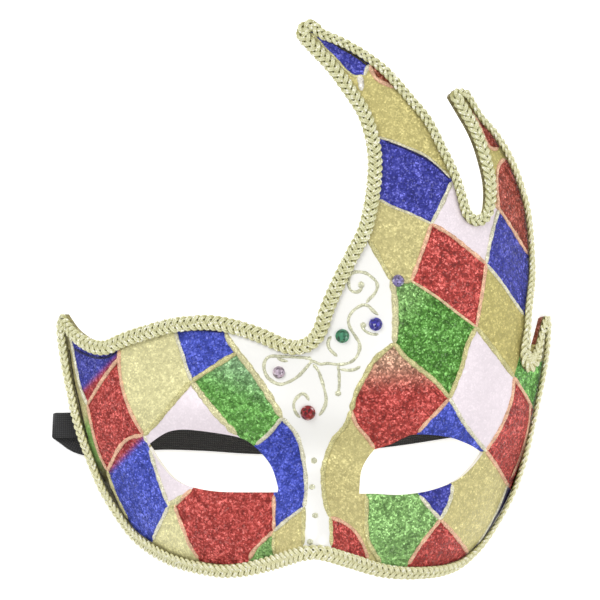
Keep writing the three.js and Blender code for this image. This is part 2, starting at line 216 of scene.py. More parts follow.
# Glue lines between the lozenges: colour and route in pixels. Lines that meet share a point.
LEFT_CORNER = (119, 358)
LEFT_FORK = (87, 405)
LEFT_LOW = (107, 471)
EYE_FORK = (144, 435)
BROW_FORK = (192, 381)
BROW_TOP = (238, 352)
TEMPLE_FORK = (282, 417)
CHEEK_FORK = (169, 506)
RED_LEFT = (175, 506)
NOSE_LEFT = (304, 506)
CHEEK_MIDDLE = (274, 530)
RED_LOW = (351, 410)
NOSE_RIGHT = (330, 516)
RED_TOP = (394, 343)
CREST_FORK = (391, 280)
CREST_LOW = (411, 281)
RIGHT_CROSS = (449, 398)
RIGHT_CORNER = (486, 451)
RIGHT_MIDDLE = (476, 327)
RIGHT_UPPER = (486, 264)
RIGHT_NOTCH = (499, 209)
CREST_MIDDLE = (431, 224)
CREST_RIGHT = (452, 180)
OUTER_FORK = (514, 377)
RIGHT_LOW = (440, 519)
LOW_CORNER = (508, 485)
HORN_LOW = (364, 76)
GLUE_LINES = [
    ("cream glue", [(63, 304), (66, 322), (72, 349), (76, 370), (80, 388), LEFT_FORK]),
    ("peach glue", [LEFT_FORK, (91, 425), (95, 442), (100, 457), LEFT_LOW]),
    ("gold glue", [LEFT_LOW, (112, 487), (120, 505), (130, 524), (142, 543), (160, 572)]),
    ("peach glue", [LEFT_CORNER, (103, 379), LEFT_FORK]),
    ("peach glue", [(121, 316), LEFT_CORNER, (122, 385), (128, 405), (136, 422), EYE_FORK]),
    ("peach glue", [EYE_FORK, (132, 437), (124, 442), (117, 451), (112, 461), LEFT_LOW]),
    ("cream glue", [(172, 300), (176, 332), (182, 352), (187, 368), BROW_FORK]),
    ("gold glue", [BROW_FORK, (178, 397), (167, 410), (158, 421), EYE_FORK]),
    ("cream glue", [EYE_FORK, (149, 447), (153, 460), (160, 482), CHEEK_FORK]),
    ("gold glue", [CHEEK_FORK, RED_LEFT]),
    ("broad gold glue", [(168, 504), (171, 503), (177, 501), (183, 495)]),
    ("broad gold glue", [BROW_FORK, (206, 400), (223, 420), (243, 440), (249, 447)]),
    ("gold glue", [BROW_TOP, (215, 366), BROW_FORK]),
    ("broad gold glue", [(219, 300), (226, 333), BROW_TOP, (252, 370), (267, 392), TEMPLE_FORK]),
    ("cream glue", [TEMPLE_FORK, (295, 432), (301, 447), (305, 470), (306, 490), NOSE_LEFT]),
    ("gold glue", [NOSE_LEFT, (303, 525), (303, 543), (303, 575)]),
    ("cream glue", [(247, 450), (256, 444), (270, 432), TEMPLE_FORK]),
    ("cream glue", [CHEEK_MIDDLE, (288, 518), NOSE_LEFT]),
    ("peach glue", [(273, 478), (274, 500), CHEEK_MIDDLE]),
    ("peach glue", [CHEEK_MIDDLE, (262, 541), (252, 553), (243, 575)]),
    ("gold glue", [CHEEK_MIDDLE, (274, 545), (275, 575)]),
    ("peach glue", [RED_LEFT, (180, 520), (185, 532), (189, 543), (197, 556), (208, 575)]),
    ("cream glue", [CHEEK_FORK, (161, 522), (153, 540), (145, 565)]),
    ("peach glue", [RED_LEFT, (184, 496), (194, 487), (200, 478)]),
    ("gold glue", [RED_LOW, (345, 425), (333, 440), (326, 458), (323, 475), (325, 500), NOSE_RIGHT]),
    ("gold glue", [NOSE_RIGHT, (331, 530), (331, 575)]),
    ("gold glue", [(350, 215), (371, 245), (381, 262), CREST_FORK]),
    ("broad gold glue", [CREST_FORK, (394, 296), (395, 320), RED_TOP]),
    ("gold glue", [RED_TOP, (385, 350), (373, 361), (364, 377), (356, 392), RED_LOW]),
    ("peach glue", [RED_LOW, (356, 424), (366, 436), (376, 450), (384, 458)]),
    ("gold glue", [RED_TOP, (402, 354), (412, 363), (430, 377), (441, 388), RIGHT_CROSS]),
    ("peach glue", [RIGHT_CROSS, (438, 410), (427, 421), (416, 434), (410, 442)]),
    ("cream glue", [RIGHT_CROSS, (455, 408), (463, 422), (475, 438), RIGHT_CORNER]),
    ("gold glue", [RIGHT_CORNER, (478, 452)]),
    ("gold glue", [RIGHT_CROSS, (461, 368), (467, 345), RIGHT_MIDDLE]),
    ("fine peach glue", [CREST_LOW, (424, 289), (439, 299), (457, 313), RIGHT_MIDDLE]),
    ("gold glue", [CREST_FORK, CREST_LOW]),
    ("peach glue", [CREST_MIDDLE, (423, 248), CREST_LOW]),
    ("peach glue", [CREST_MIDDLE, (450, 235), (469, 250), RIGHT_UPPER]),
    ("peach glue", [RIGHT_UPPER, (482, 292), RIGHT_MIDDLE]),
    ("gold glue", [RIGHT_MIDDLE, (490, 345), (503, 362), OUTER_FORK]),
    ("peach glue", [RIGHT_CORNER, (500, 429), (509, 408), (513, 393), OUTER_FORK]),
    ("peach glue", [OUTER_FORK, (525, 394), (533, 408), (544, 424)]),
    ("peach glue", [(530.5, 402), (530, 419), (527, 436), (524, 447), (519, 462), (512, 478)]),
    ("cream glue", [RIGHT_UPPER, (501, 282), (512, 298), (522, 312), (540, 335)]),
    ("peach glue", [(478, 184), RIGHT_NOTCH, (510, 225), (522, 244), (534, 263), (546, 282)]),
    ("cream glue", [RIGHT_UPPER, (490, 242), (495, 222), RIGHT_NOTCH]),
    (
        "peach glue",
        [(461, 84), (471, 108), (479, 125), (485, 139), (490, 147), (496, 149), (503, 144), (516, 132)],
    ),
    ("peach glue", [(530, 168), (511, 160), (503, 160), (498, 169), (497, 188), RIGHT_NOTCH]),
    ("fine cream glue", [(355, 190), (379, 200), (392, 207), (410, 214), CREST_MIDDLE]),
    ("cream glue", [CREST_MIDDLE, (442, 203), CREST_RIGHT]),
    ("fine cream glue", [(350, 130), (383, 139), (405, 147), (428, 158), CREST_RIGHT]),
    ("gold glue", [CREST_RIGHT, (472, 184)]),
    ("cream glue", [(380, 50), (369, 65), HORN_LOW]),
    (
        "fine gold glue",
        [HORN_LOW, (355, 77), (346, 71), (336, 60), (326, 50), (316, 39), (303, 27), (290, 16)],
    ),
    ("broad cream glue", [(359, 76), (360, 80), (361, 84), (361, 91)]),
    ("peach glue", [(369, 65), (376, 79), (391, 87), (414, 99)]),
    ("gold glue", [(366, 484), (366, 510), (366, 530), (369, 543), (375, 554), (384, 566), (396, 580)]),
    ("peach glue", [NOSE_RIGHT, (343, 521), (356, 532), (366, 552), (372, 580)]),
    ("cream glue", [(412, 486), (421, 497), (430, 508), RIGHT_LOW]),
    ("cream glue", [(448, 478), (452, 487), (449, 502), RIGHT_LOW]),
    ("peach glue", [RIGHT_LOW, (428, 534), (417, 549), (392, 590)]),
    ("peach glue", [RIGHT_LOW, (454, 534), (468, 553), (480, 572)]),
    (
        "cream glue",
        [LOW_CORNER, (504, 496), (500, 506), (494, 518), (488, 529), (481, 540), (470, 554), (462, 572)],
    ),
    ("peach glue", [RIGHT_CORNER, (498, 468), LOW_CORNER, (524, 508)]),
]

# Painted shadow: dark beads beside the braid, on the left wall and under the edge of the horn, where the
# braid's shade falls
PAINTED_SHADOW_LINES = [
    ("painted shadow", [(314, 35), (330, 42), (344, 50), (357, 58), (368, 66)]),
    (
        "painted shadow",
        [
            (65, 341), (69, 352), (71, 366), (74, 384), (78, 400), (81, 414), (86, 434), (92, 454),
            (100, 473), (109, 493),
        ],
    ),
    ("painted navy shadow", [(74, 349), (82, 353), (92, 357), (100, 358), (108, 357), (117, 352)]),
    ("painted navy shadow", [(180, 331), (190, 330), (202, 330), (213, 330.5), (222, 332)]),
    ("painted navy shadow", [(385, 141), (405, 149), (418, 155), (429, 161), (441, 171), (449, 179)]),
    ("painted shadow", [(541, 380), (538, 394), (536, 406), (535, 418)]),
]

# Edges of fields with no glue on them
BARE_BORDERS = [
    [OUTER_FORK, (517, 366), (521, 352), (526, 338), (534, 322)],
    [(529, 350), (533, 363), (544, 361), (558, 356)],
]

# Painted fields: paint and a pixel inside. Each spreads from its pixel as far as the lines round it.
FIELDS = [
    ("strip gold", (71, 372)),
    ("blue", (92, 370)),
    ("red", (105, 420)),
    ("light gold", (145, 385)),
    ("bright blue", (205, 350)),
    ("pale", (190, 418)),
    ("bright blue", (135, 490)),
    ("pale", (171, 490)),
    ("mid green", (235, 410)),
    ("white", (300, 400)),
    ("bright blue", (285, 470)),
    ("red", (225, 530)),
    ("light gold", (172, 545)),
    ("light green", (264, 551)),
    ("gold", (288, 538)),
    ("gold", (342, 470)),
    ("red", (345, 533)),
    ("light green", (400, 525)),
    ("blue", (440, 500)),
    ("red", (440, 550)),
    ("gold", (480, 500)),
    ("dark navy", (505, 506)),
    ("bright blue", (455, 428)),
    ("red", (400, 400)),
    ("green", (430, 330)),
    ("pale", (485, 385)),
    ("red", (512, 440)),
    ("mid green", (528, 390)),
    ("light gold", (543, 338)),
    ("deep gold", (505, 325)),
    ("red", (450, 270)),
    ("pale", (460, 230)),
    ("blue", (510, 260)),
    ("brown red", (515, 215)),
    ("brown red", (490, 138)),
    ("deep gold", (485, 152)),
    ("blue", (410, 180)),
    ("gold", (400, 245)),
    ("crest gold", (400, 130)),
    ("blue", (350, 62)),
    ("rust brown", (381, 78)),
]

# Paint that runs into another: field, second paint, and the pixels between which it changes
FADES = [
    ((235, 410), "grey green", (238, 404), (254, 366)),
    ((92, 370), "crimson", (95, 373), (100, 378)),
    ((135, 490), "crimson", (126.5, 459.5), (122, 455)),
    ((400, 400), "dusty rose", (400, 396), (398, 352)),
    ((430, 330), "light green", (432, 312), (404, 286)),
    ((71, 372), "strip green", (83, 412), (88, 430)),
    # Painted shade: the left strip darkens towards its lower end, beside the braid
    ((71, 372), "strip painted shade", (96, 452), (104, 474)),
]

# Paint on the cut edge of the shell: paint, pixel and reach in pixels. The rim painted shade is painted
# shade on the second flame's left wall.
RIM_PATCHES = [
    ("rim painted shade", (460, 110), 34), ("rim painted shade", (480, 165), 42), ("rust brown", (541, 331), 15),
    ("deep gold", (534, 354), 9),
]

# Thin glitter-glue scrolls on the forehead and nose, in pixels
SCROLLS = [
    [
        (311, 359), (305, 357.5), (297, 357), (287, 356.5), (278, 356), (271, 356), (266, 359), (264, 366),
        (266, 374), (271, 380), (280, 384), (290, 381), (298, 376), (304, 370), (309, 364), (313, 361),
        (320, 364), (327, 363), (335, 364), (342, 364), (350, 362), (356, 357), (359, 350), (359, 343),
        (355, 336), (350, 328), (348, 320), (351, 313), (355, 309), (362, 305), (368, 306), (373, 311),
        (378, 315),
    ],
    [(277, 357), (282, 360), (288, 361)],
    [(309, 356), (311, 360), (313, 362)],
    [(313, 364), (318, 370), (321, 378), (324, 388), (326, 398), (325, 405), (322, 411), (319, 415)],
    [(309, 400), (306, 395), (302, 393), (297, 397), (294, 402), (294, 408), (297, 414), (300, 417)],
    [(331, 336), (328.5, 340), (328, 345), (330.5, 350), (337, 356)],
    [(361, 325), (365, 331), (372, 334), (378, 334)],
    [
        (350, 273), (357, 272), (365, 273), (371, 277), (376, 282), (377, 288), (374, 294), (369, 299),
        (366, 303),
    ],
    [
        (361, 285), (361, 289), (357, 292), (352, 291.5), (349, 288), (348.5, 282), (350, 276), (354, 272.5),
        (358, 272),
    ],
    [(338, 365), (339, 375), (339, 385), (338, 394)],
    [(340, 369), (348, 370), (355, 369), (360, 366)],
]
SCROLL_DOTS = [(361, 285), (338, 393), (363, 325), (314, 460), (312, 486), (315, 514), (310, 540)]

# Grids and steps of the surface finish, in millimetres
PAINT_GRID = 1.25
EDGE_GRID = 1.1
GRID_CLEARANCE = 0.55
BORDER_STEP = 1.2
ROUTE_STEP = 1
SCROLL_STEP = 0.8
TINY = 1e-6
CUT_TOLERANCE = 1e-4
TUBE_SIDES = 8
SHARP_ANGLE = math.radians(50)

# Glitter glue. A bead grows from its ends to its full width, and its lumps are a noise's scale and detail.
GLUE_STEP = 0.8
GLUE_HALF_WIDTHS = {
    "gold glue": 0.95, "broad gold glue": 1.25, "fine gold glue": 0.5, "peach glue": 0.78,
    "fine peach glue": 0.55, "cream glue": 0.8, "fine cream glue": 0.55, "broad cream glue": 1.3,
}
GLUE_FLATNESS = 0.55
GLUE_LUMPS = (420.0, 2.0)
GLUE_LUMP_SIZES = (0.72, 1.25)
GLUE_END_REACH = 1.6
GLUE_END_SIZE = 0.15
GLUE_END_POWER = 0.5
SCROLL_HALF_WIDTH = 0.58
SHADOW_LINE_HALF_WIDTH = 0.45
DOT_SPREAD = 1.0
DOT_STEPS = 3
DOT_HALF_WIDTH = 1.7
GLUE_TUCK = 0.5
GLUE_CLEAR_OF_EYE = 0.35

# The gimp: three strands of two cords, plaited flat
GIMP_STRANDS = 3
GIMP_CORDS = 2
GIMP_SCALLOP = 2.5
GIMP_CORD_RADIUS = 0.42
GIMP_THINNEST = 0.6
GIMP_CORD_GAP = 0.74
GIMP_SWING = 2.1
GIMP_LIFT = 0.38
GIMP_HEIGHT = 1.25
GIMP_STEP = 0.5
GIMP_OVERHANG = 0.75
GIMP_TURN_OVER = 0.5
GIMP_BACKING = 2.45
GIMP_BACKING_DROP = 0.75
GIMP_BACKING_FLATNESS = 0.06
GIMP_MIN_SHARE = 0.4
GIMP_OFF_FLOOR = 0.1
GIMP_NEIGHBOURS = 6
GIMP_WIDTH_ROUNDS = 4
GIMP_MIDDLE_ROUNDS = 3
# How much of the braid's width shows, at pixels in order round the outline. It turns over the edge of
# the crest and of the right side, and over 1 it is spread wider than it usually is.
GIMP_SHARES = [
    ((61, 312), 0.85), ((100, 336), 0.95), ((200, 318), 1), ((300, 338), 1), ((345, 258), 1),
    ((369, 160), 0.97), ((350, 90), 0.92), ((322, 52), 0.9), ((306, 24), 0.82), ((330, 36), 0.62),
    ((362, 52), 0.58), ((392, 80), 0.66), ((430, 133), 0.62), ((455, 185), 0.62), ((476, 218), 0.75),
    ((486, 180), 0.95), ((470, 120), 1.0), ((449, 96), 0.9), ((467, 88), 0.6), ((482, 110), 0.5),
    ((510, 150), 0.62), ((529, 200), 0.56), ((533, 270), 0.58), ((530, 330), 0.55), ((532, 362), 1.35),
    ((541, 335), 0.62), ((549, 318), 0.7), ((551, 360), 0.54), ((540, 420), 0.42), ((534, 440), 0.55),
    ((526, 462), 0.76), ((515, 487), 0.72), ((500, 517), 0.55), ((486, 540), 0.62), ((470, 558), 0.75),
    ((435, 575), 0.9), ((380, 572), 0.95), ((310, 560), 1), ((240, 573), 1), ((195, 571), 1.08),
    ((160, 560), 1.25), ((136, 536), 1.3), ((123, 516), 1.2), ((114, 500), 1.12), ((95, 460), 0.85),
    ((80, 420), 0.78), ((71, 385), 0.8), ((60, 345), 0.95),
]

# In the finishes, sizes and heights are in millimetres, and a noise is its scale in a metre and detail

# Values between which a noise mostly lies
NOISE_RANGE = (0.3, 0.7)

# Finish of glitter: size of a grain, and how far grains are darker or brighter than the paint. That
# brightness is partly the flakes' own random tone and partly painted sparkle.
PAINTED_GLITTER = {"grain": 0.56, "metallic": 0.25, "roughness": 0.38, "contrast": 0.34}
GLUE_GLITTER = {"grain": 0.3, "metallic": 0.35, "roughness": 0.3, "contrast": 0.22}
GRAIN_TILT = 0.9
GRAIN_POWER = 3.0
GRAIN_SHADES = (0.45, 1.5)
CLUMPS_A_GRAIN = 0.4
CLUMP_POWER = 2.0
CLUMP_SHADES = (0.35, 0.7)
PATCHES = (330.0, 3.0)
PATCH_SHADES = (0.84, 1.16)
# Painted highlights: a whitish glint on bright grains, and a few grains that flash
GLINT_SHARE = 0.1
GLINT_COLOUR = (1.0, 0.96, 0.9)
FLASH_ABOVE = 0.9
FLASH_GAIN = 0.45
FLASH_SHARE = 0.06
FLASH_COLOUR = (1.0, 0.97, 0.9)
GLITTER_SPECULAR = 0.2
PAINT_GRAIN = (260.0, 4.0)
PAINT_RELIEF = 0.12

# Finish of the bare paper inside. Strips are cells in a metre, and the overlap is a share of a cell.
PAPER_COLOURS = ((226, 220, 208), (240, 237, 229))
PAPER_CLOUDS = (40.0, 3.0)
PAPER_STRIPS = 45.0
PAPER_OVERLAP = 0.06
PAPER_OVERLAP_HEIGHT = 0.12
PAPER_FIBRES = (900.0, 5.0)
PAPER_FIBRE_HEIGHT = 0.1

# Finish of the gimp: screen colours in and out of the turns of thread, low and high in the plait. The darker
# low colours are painted shade where strands pass under others.
UNSHADED_LOW = ((186, 180, 118), (224, 220, 164))
UNSHADED_HIGH = ((226, 222, 170), (250, 248, 216))
SHADED_LOW = ((154, 149, 82), (200, 197, 136))
SHADED_HIGH = ((212, 210, 156), (243, 243, 212))
# Painted shade: the thread is darker at the brows and on the crest, and unshaded again at the right edge, in
# metres
GIMP_SHADED_UP = (-0.035, -0.005)
GIMP_UNSHADED_RIGHT = (0.066, 0.074)
THREAD_PITCH = 0.55
THREAD_HEIGHT = 0.09
# Painted glints: near-white specks on the thread
THREAD_GLINT = 0.6
THREAD_GLINTS_ABOVE = 0.9
THREAD_GLINT_COLOUR = (255, 253, 236)
# Painted shade: the backing's dark colours show in the gaps between the loops
BACKING_SHADE_COLOURS = ((104, 96, 54), (156, 148, 96))
BACKING_MOTTLE = (900.0, 2.0)

# Cut and finish of the stones. Each ring has its corners, turn, share of the radius and height.
STONE_RINGS = [(16, 0, 1.0, 0.22), (8, 0.5, 0.8, 0.66), (8, 0, 0.52, 1), (1, 0, 0, 1.05)]
FACET_FLATNESS = math.radians(1)
# Painted reflections: each facet's colour is darker or lighter at random, and the brightest get a painted
# highlight
STONE_DARK = 0.3
STONE_LIGHT = 2.2
STONE_HIGHLIGHT_ABOVE = 0.86
STONE_HIGHLIGHT = 0.55
STONE_HIGHLIGHT_COLOUR = (0.9, 0.9, 0.9)
STONE_SEED = 7

# Finish of the elastic band
STRAP_STEP = 1.5
STRAP_POINTS_ACROSS = 9
ELASTIC_COLOURS = ((26, 26, 27), (62, 62, 64))
ELASTIC_SHEEN = 0.25
RIB_WIDTH = 0.75
RIB_HEIGHT = 0.14
WEFT_WIDTH = 0.7
WEFT_HEIGHT = 0.06

# Camera, straight above the lying mask
CAMERA_HEIGHT = 5.0
CAMERA_REACH = 20
SHARP_PLANE = 0.02
SENSOR = 36

# Studio: a pale floor, and lamps with their place, size and power
FLOOR_SIZE = 3
FLOOR_DROP = 0.0001
FLOOR_GREY = 0.93
FLOOR_GLOW = 0.42
SKY_STRENGTH = 0.7
LAMPS = [("key", (-0.7, 0.9, 1.3), 0.8, 11), ("fill", (0.9, -0.3, 1.2), 1.0, 5)]


def linear(screen):
    """A screen colour, 0 to 255, as the linear colour that a shader takes."""
    parts = [value / 255 for value in screen]
    return tuple(part / 12.92 if part <= 0.04045 else ((part + 0.055) / 1.055) ** 2.4 for part in parts)


def paint_colour(paint):
    return [*linear(PAINTS[paint]), 1]


def from_photo(pixels):
    """Pixels of the photograph as millimetres about the bridge of the nose."""
    pixels = np.asarray(pixels, dtype=float)
    x = (pixels[:, 0] - BRIDGE_PIXEL[0]) / PIXELS_PER_MM
    y = (BRIDGE_PIXEL[1] - pixels[:, 1]) / PIXELS_PER_MM
    return np.stack([x, y], axis=1)


def in_frame(points):
    """Millimetres about the bridge of the nose as metres in the row's frame."""
    middle = np.array([*FOOTPRINT_MIDDLE, 0])
    return (np.asarray(points, dtype=float) - middle) * MM


# Surface of the shell


def smooth_step(low, high, value):
    share = np.clip((value - low) / (high - low), 0, 1)
    return share * share * (3 - 2 * share)


def rim_fraction(power):
    """The share of a section's full half width that it has at its rim."""
    return (1 - RIM_WRAP**power) ** (1 / power)


def section_half_width(left, y):
    """Full half width of the section at each Y, on the left or the right side."""
    arch = STRAP_ARCH * np.exp(-(((y - STRAP_ARCH_Y) / STRAP_ARCH_SPREAD) ** 2))
    left_reach = LEFT_HALF_WIDTH - LEFT_TAPER * np.maximum(0, WIDEST_LEFT_Y - y) ** 2 + arch
    narrowed = CREST_NARROWING * smooth_step(CREST_NARROW_FROM_Y, CREST_NARROW_TO_Y, y)
    narrowed = narrowed + CREST_TAPER * np.maximum(0, y - CREST_TAPER_Y) ** 2
    right_reach = RIGHT_HALF_WIDTH - RIGHT_TAPER * np.maximum(0, WIDEST_RIGHT_Y - y) ** 2 - narrowed
    return np.where(left, left_reach / rim_fraction(LEFT_POWER), right_reach / rim_fraction(RIGHT_POWER))


def face_features(x, y):
    """Height of the nose, brows, cheeks and eye hollows over the plain dome."""
    growth = 1 - smooth_step(NOSE_FULL_Y, NOSE_TOP_Y, y)
    spread = NOSE_SPREAD + NOSE_EXTRA_SPREAD * growth
    height = NOSE_HEIGHT * growth * np.exp(-0.5 * (x / spread) ** 2)
    for rise, middle_x, middle_y, spread_x, spread_y in SWELLINGS:
        across = (x - middle_x) / spread_x
        along = (y - middle_y) / spread_y
        height = height + rise * np.exp(-0.5 * (across**2 + along**2))
    return height


def front_points(sheet):
    """Points of the shell's front. A sheet point holds the scaled angle round the section, and Y."""
    angle = sheet[:, 0] / SHEET_SCALE
    y = sheet[:, 1]
    left = angle < 0
    power = np.where(left, LEFT_POWER, RIGHT_POWER)
    reach = np.abs(np.sin(angle))
    x = np.where(left, -1, 1) * section_half_width(left, y) * reach
    wrap = np.maximum(0, 1 - reach**power) ** (1 / power)
    depth = FACE_DEPTH - (FACE_DEPTH - CREST_DEPTH) * smooth_step(CREST_START_Y, CREST_TOP_Y, y)
    below_chin = np.maximum(0, CHIN_ROLL_Y - y)
    z = depth * (wrap - RIM_WRAP) + face_features(x, y) - CHIN_ROLL * below_chin**2
    return np.stack([x, y, z], axis=1)


def front_slopes(sheet):
    """How the front moves for a millimetre along each of the sheet's two directions."""
    side = np.array([NORMAL_PROBE, 0])
    up = np.array([0, NORMAL_PROBE])
    along_side = (front_points(sheet + side) - front_points(sheet - side)) / (2 * NORMAL_PROBE)
    along_up = (front_points(sheet + up) - front_points(sheet - up)) / (2 * NORMAL_PROBE)
    return along_side, along_up


def unit(vectors):
    return vectors / np.maximum(1e-9, np.linalg.norm(vectors, axis=-1, keepdims=True))


def front_normals(sheet):
    along_side, along_up = front_slopes(sheet)
    return unit(np.cross(along_side, along_up))


def on_sheet(places):
    """Sheet points of places that are seen from above."""
    x, y = places[:, 0], places[:, 1]
    left = x < 0
    share = np.minimum(NEARLY_UPRIGHT, np.abs(x) / section_half_width(left, y))
    return np.stack([np.where(left, -1, 1) * np.arcsin(share) * SHEET_SCALE, y], axis=1)


def raised(sheet, height):
    return front_points(sheet) + front_normals(sheet) * height


# Smooth lines and closed loops


def through(points, step, centripetal=False, keep_points=False):
    """Points at an even step along a smooth curve through the given ones, or even between each two."""
    points = np.asarray(points, dtype=float)
    chords = np.diff(points, axis=0)
    gaps = np.linalg.norm(chords, axis=1) ** 0.5 if centripetal else np.ones(len(chords))
    pull = chords / gaps[:, None]
    share = (gaps[1:] / (gaps[1:] + gaps[:-1]))[:, None]
    middle = pull[:-1] * share + pull[1:] * (1 - share)
    end_pull = 1 if centripetal else 0.5
    tangents = np.vstack([pull[:1] * end_pull, middle, pull[-1:] * end_pull])
    t = np.linspace(0, 1, CURVE_STEPS, endpoint=False)[:, None]
    fine = []
    for i, gap in enumerate(gaps):
        a, b = points[i], points[i + 1]
        leave, arrive = tangents[i] * gap, tangents[i + 1] * gap
        fine.append(
            (2 * t**3 - 3 * t**2 + 1) * a + (t**3 - 2 * t**2 + t) * leave
            + (3 * t**2 - 2 * t**3) * b + (t**3 - t**2) * arrive
        )
    fine = np.vstack(fine + [points[-1:]])
    travelled = distance_along(fine)
    stops = travelled[::CURVE_STEPS] if keep_points else travelled[[0, -1]]
    at = [travelled[-1:]]
    for start, end in zip(stops[:-1], stops[1:]):
        count = max(1, round((end - start) / step))
        at.insert(-1, np.linspace(start, end, count, endpoint=False))
    at = np.concatenate(at)
    return np.stack([np.interp(at, travelled, fine[:, k]) for k in range(fine.shape[1])], axis=1)


def distance_along(line):
    return np.concatenate([[0], np.cumsum(np.linalg.norm(np.diff(line, axis=0), axis=1))])


def closed_loop(stretches, step):
    return np.vstack([through(stretch, step)[:-1] for stretch in stretches])


def onward(loop):
    """From the point before to the point after, at each point of a closed loop."""
    return np.roll(loop, -1, axis=0) - np.roll(loop, 1, axis=0)


def inward(loop, normals):
    """Across a loop on the shell towards the side that it encloses."""
    return unit(np.cross(unit(onward(loop)), normals))


def eased(loop, rounds):
    """Values round a closed loop, each drawn towards its two neighbours."""
    for _ in range(rounds):
        loop = (np.roll(loop, 1, axis=0) + 2 * loop + np.roll(loop, -1, axis=0)) / 4
    return loop


def under_braid(outline):
    """The shell's own edge, inside the outline by as much as the braid stands out sideways."""
    standing = TRIM_GAP + BRAID_THICKNESS
    edge = outline.copy()
    for _ in range(EDGE_ROUNDS):
        edge = outline - standing * front_normals(on_sheet(edge))[:, :2]
    return edge


def inside_loop(points, loop):
    """Which points the loop encloses, by the times that a line from each crosses it."""
    x, y = points[:, :1], points[:, 1:]
    start = loop
    end = np.roll(loop, -1, axis=0)
    crosses = (start[:, 1] > y) != (end[:, 1] > y)
    rise = np.where(end[:, 1] == start[:, 1], 1, end[:, 1] - start[:, 1])
    at = start[:, 0] + (y - start[:, 1]) * (end[:, 0] - start[:, 0]) / rise
    return (np.sum(crosses & (x < at), axis=1) % 2) == 1


def tree_of(points):
    """A search tree of points in two or three directions."""
    tree = KDTree(len(points))
    for i, point in enumerate(points):
        tree.insert(Vector((*point, 0)) if len(point) == 2 else Vector(point), i)
    tree.balance()
    return tree


def distances(points, tree):
    """How far each point is from the nearest in the tree."""
    return np.array([tree.find(Vector((*p, 0)) if len(p) == 2 else Vector(p))[2] for p in points])


# Meshes and node trees


def add_piece(name, mesh, materials=()):
    piece = bpy.data.objects.new(name, mesh)
    bpy.context.scene.collection.objects.link(piece)
    for material in materials:
        mesh.materials.append(material)
    return piece


def store(mesh, name, kind, domain, values):
    attribute = mesh.attributes.new(name, kind, domain)
    key = {"FLOAT": "value", "FLOAT_VECTOR": "vector", "FLOAT_COLOR": "color"}[kind]
    attribute.data.foreach_set(key, np.asarray(values, dtype=np.float32).ravel())


def add_node(tree, kind, settings=None, **inputs):
    """A node with its settings. An input is a value, or another node's socket, and i0 is the first."""
    node = tree.nodes.new(kind)
    for key, value in (settings or {}).items():
        setattr(node, key, value)
    for key, value in inputs.items():
        socket = node.inputs[int(key[1:])] if key[0] == "i" and key[1:].isdigit() else node.inputs[key]
        if isinstance(value, bpy.types.NodeSocket):
            tree.links.new(value, socket)
        else:
            socket.default_value = value
    return node


def maths(tree, operation, a, b=0.0):
    return add_node(tree, "ShaderNodeMath", {"operation": operation}, i0=a, i1=b).outputs[0]


def product(tree, first, *others):
    for other in others:
        first = maths(tree, "MULTIPLY", first, other)
    return first


def vectors(tree, operation, a, b=None, scale=None):
    inputs = {"i0": a}
    if b is not None:
        inputs["i1"] = b
    if scale is not None:
        inputs["Scale"] = scale
    node = add_node(tree, "ShaderNodeVectorMath", {"operation": operation}, **inputs)
    return node.outputs["Value" if operation == "DOT_PRODUCT" else "Vector"]


def spread_to(tree, value, low, high, to_low, to_high):
    node = add_node(tree, "ShaderNodeMapRange", {}, Value=value)
    for name, number in (("From Min", low), ("From Max", high), ("To Min", to_low), ("To Max", to_high)):
        node.inputs[name].default_value = number
    return node.outputs[0]


def blended(tree, share, a, b):
    node = tree.nodes.new("ShaderNodeMix")
    node.data_type = "RGBA"
    for name, value in (("Factor_Float", share), ("A_Color", a), ("B_Color", b)):
        socket = next(s for s in node.inputs if s.identifier == name)
        if isinstance(value, bpy.types.NodeSocket):
            tree.links.new(value, socket)
        else:
            socket.default_value = value if name == "Factor_Float" else (*value, 1)
    return next(s for s in node.outputs if s.identifier == "Result_Color")


def geometry_tree(name, sizes):
    tree = bpy.data.node_groups.new(name, "GeometryNodeTree")
    tree.interface.new_socket("Geometry", in_out="INPUT", socket_type="NodeSocketGeometry")
    for label in sizes:
        kind = "NodeSocketInt" if isinstance(sizes[label], int) else "NodeSocketFloat"
        tree.interface.new_socket(label, in_out="INPUT", socket_type=kind)
    tree.interface.new_socket("Geometry", in_out="OUTPUT", socket_type="NodeSocketGeometry")
    return tree, tree.nodes.new("NodeGroupInput").outputs, tree.nodes.new("NodeGroupOutput").inputs


def made_by_nodes(name, mesh, tree, sizes):
    """A plain mesh piece from a mesh and a geometry tree."""
    piece = add_piece(name, mesh)
    modifier = piece.modifiers.new(name, "NODES")
    modifier.node_group = tree
    for item in tree.interface.items_tree:
        if item.item_type == "SOCKET" and item.in_out == "INPUT" and item.name in sizes:
            modifier[item.identifier] = sizes[item.name]
    graph = bpy.context.evaluated_depsgraph_get()
    finished = bpy.data.meshes.new_from_object(piece.evaluated_get(graph), depsgraph=graph)
    piece.modifiers.clear()
    piece.data = finished
    finished.name = name
    return piece


def named(tree, name, kind):
    return add_node(tree, "GeometryNodeInputNamedAttribute", {"data_type": kind}, Name=name).outputs[0]


def stored(tree, geometry, name, kind, value):
    settings = {"data_type": kind, "domain": "POINT"}
    held_values = {"Geometry": geometry, "Name": name, "Value": value}
    return add_node(tree, "GeometryNodeStoreNamedAttribute", settings, **held_values).outputs[0]


def moved(tree, geometry, offset):
    return add_node(tree, "GeometryNodeSetPosition", {}, Geometry=geometry, Offset=offset).outputs[0]


def dressed(tree, geometry, material):
    return add_node(tree, "GeometryNodeSetMaterial", {}, Geometry=geometry, Material=material).outputs[0]


def smooth_and_real(tree, geometry):
    smooth = add_node(tree, "GeometryNodeSetShadeSmooth", {}, Geometry=geometry).outputs[0]
    return add_node(tree, "GeometryNodeRealizeInstances", {}, Geometry=smooth).outputs[0]


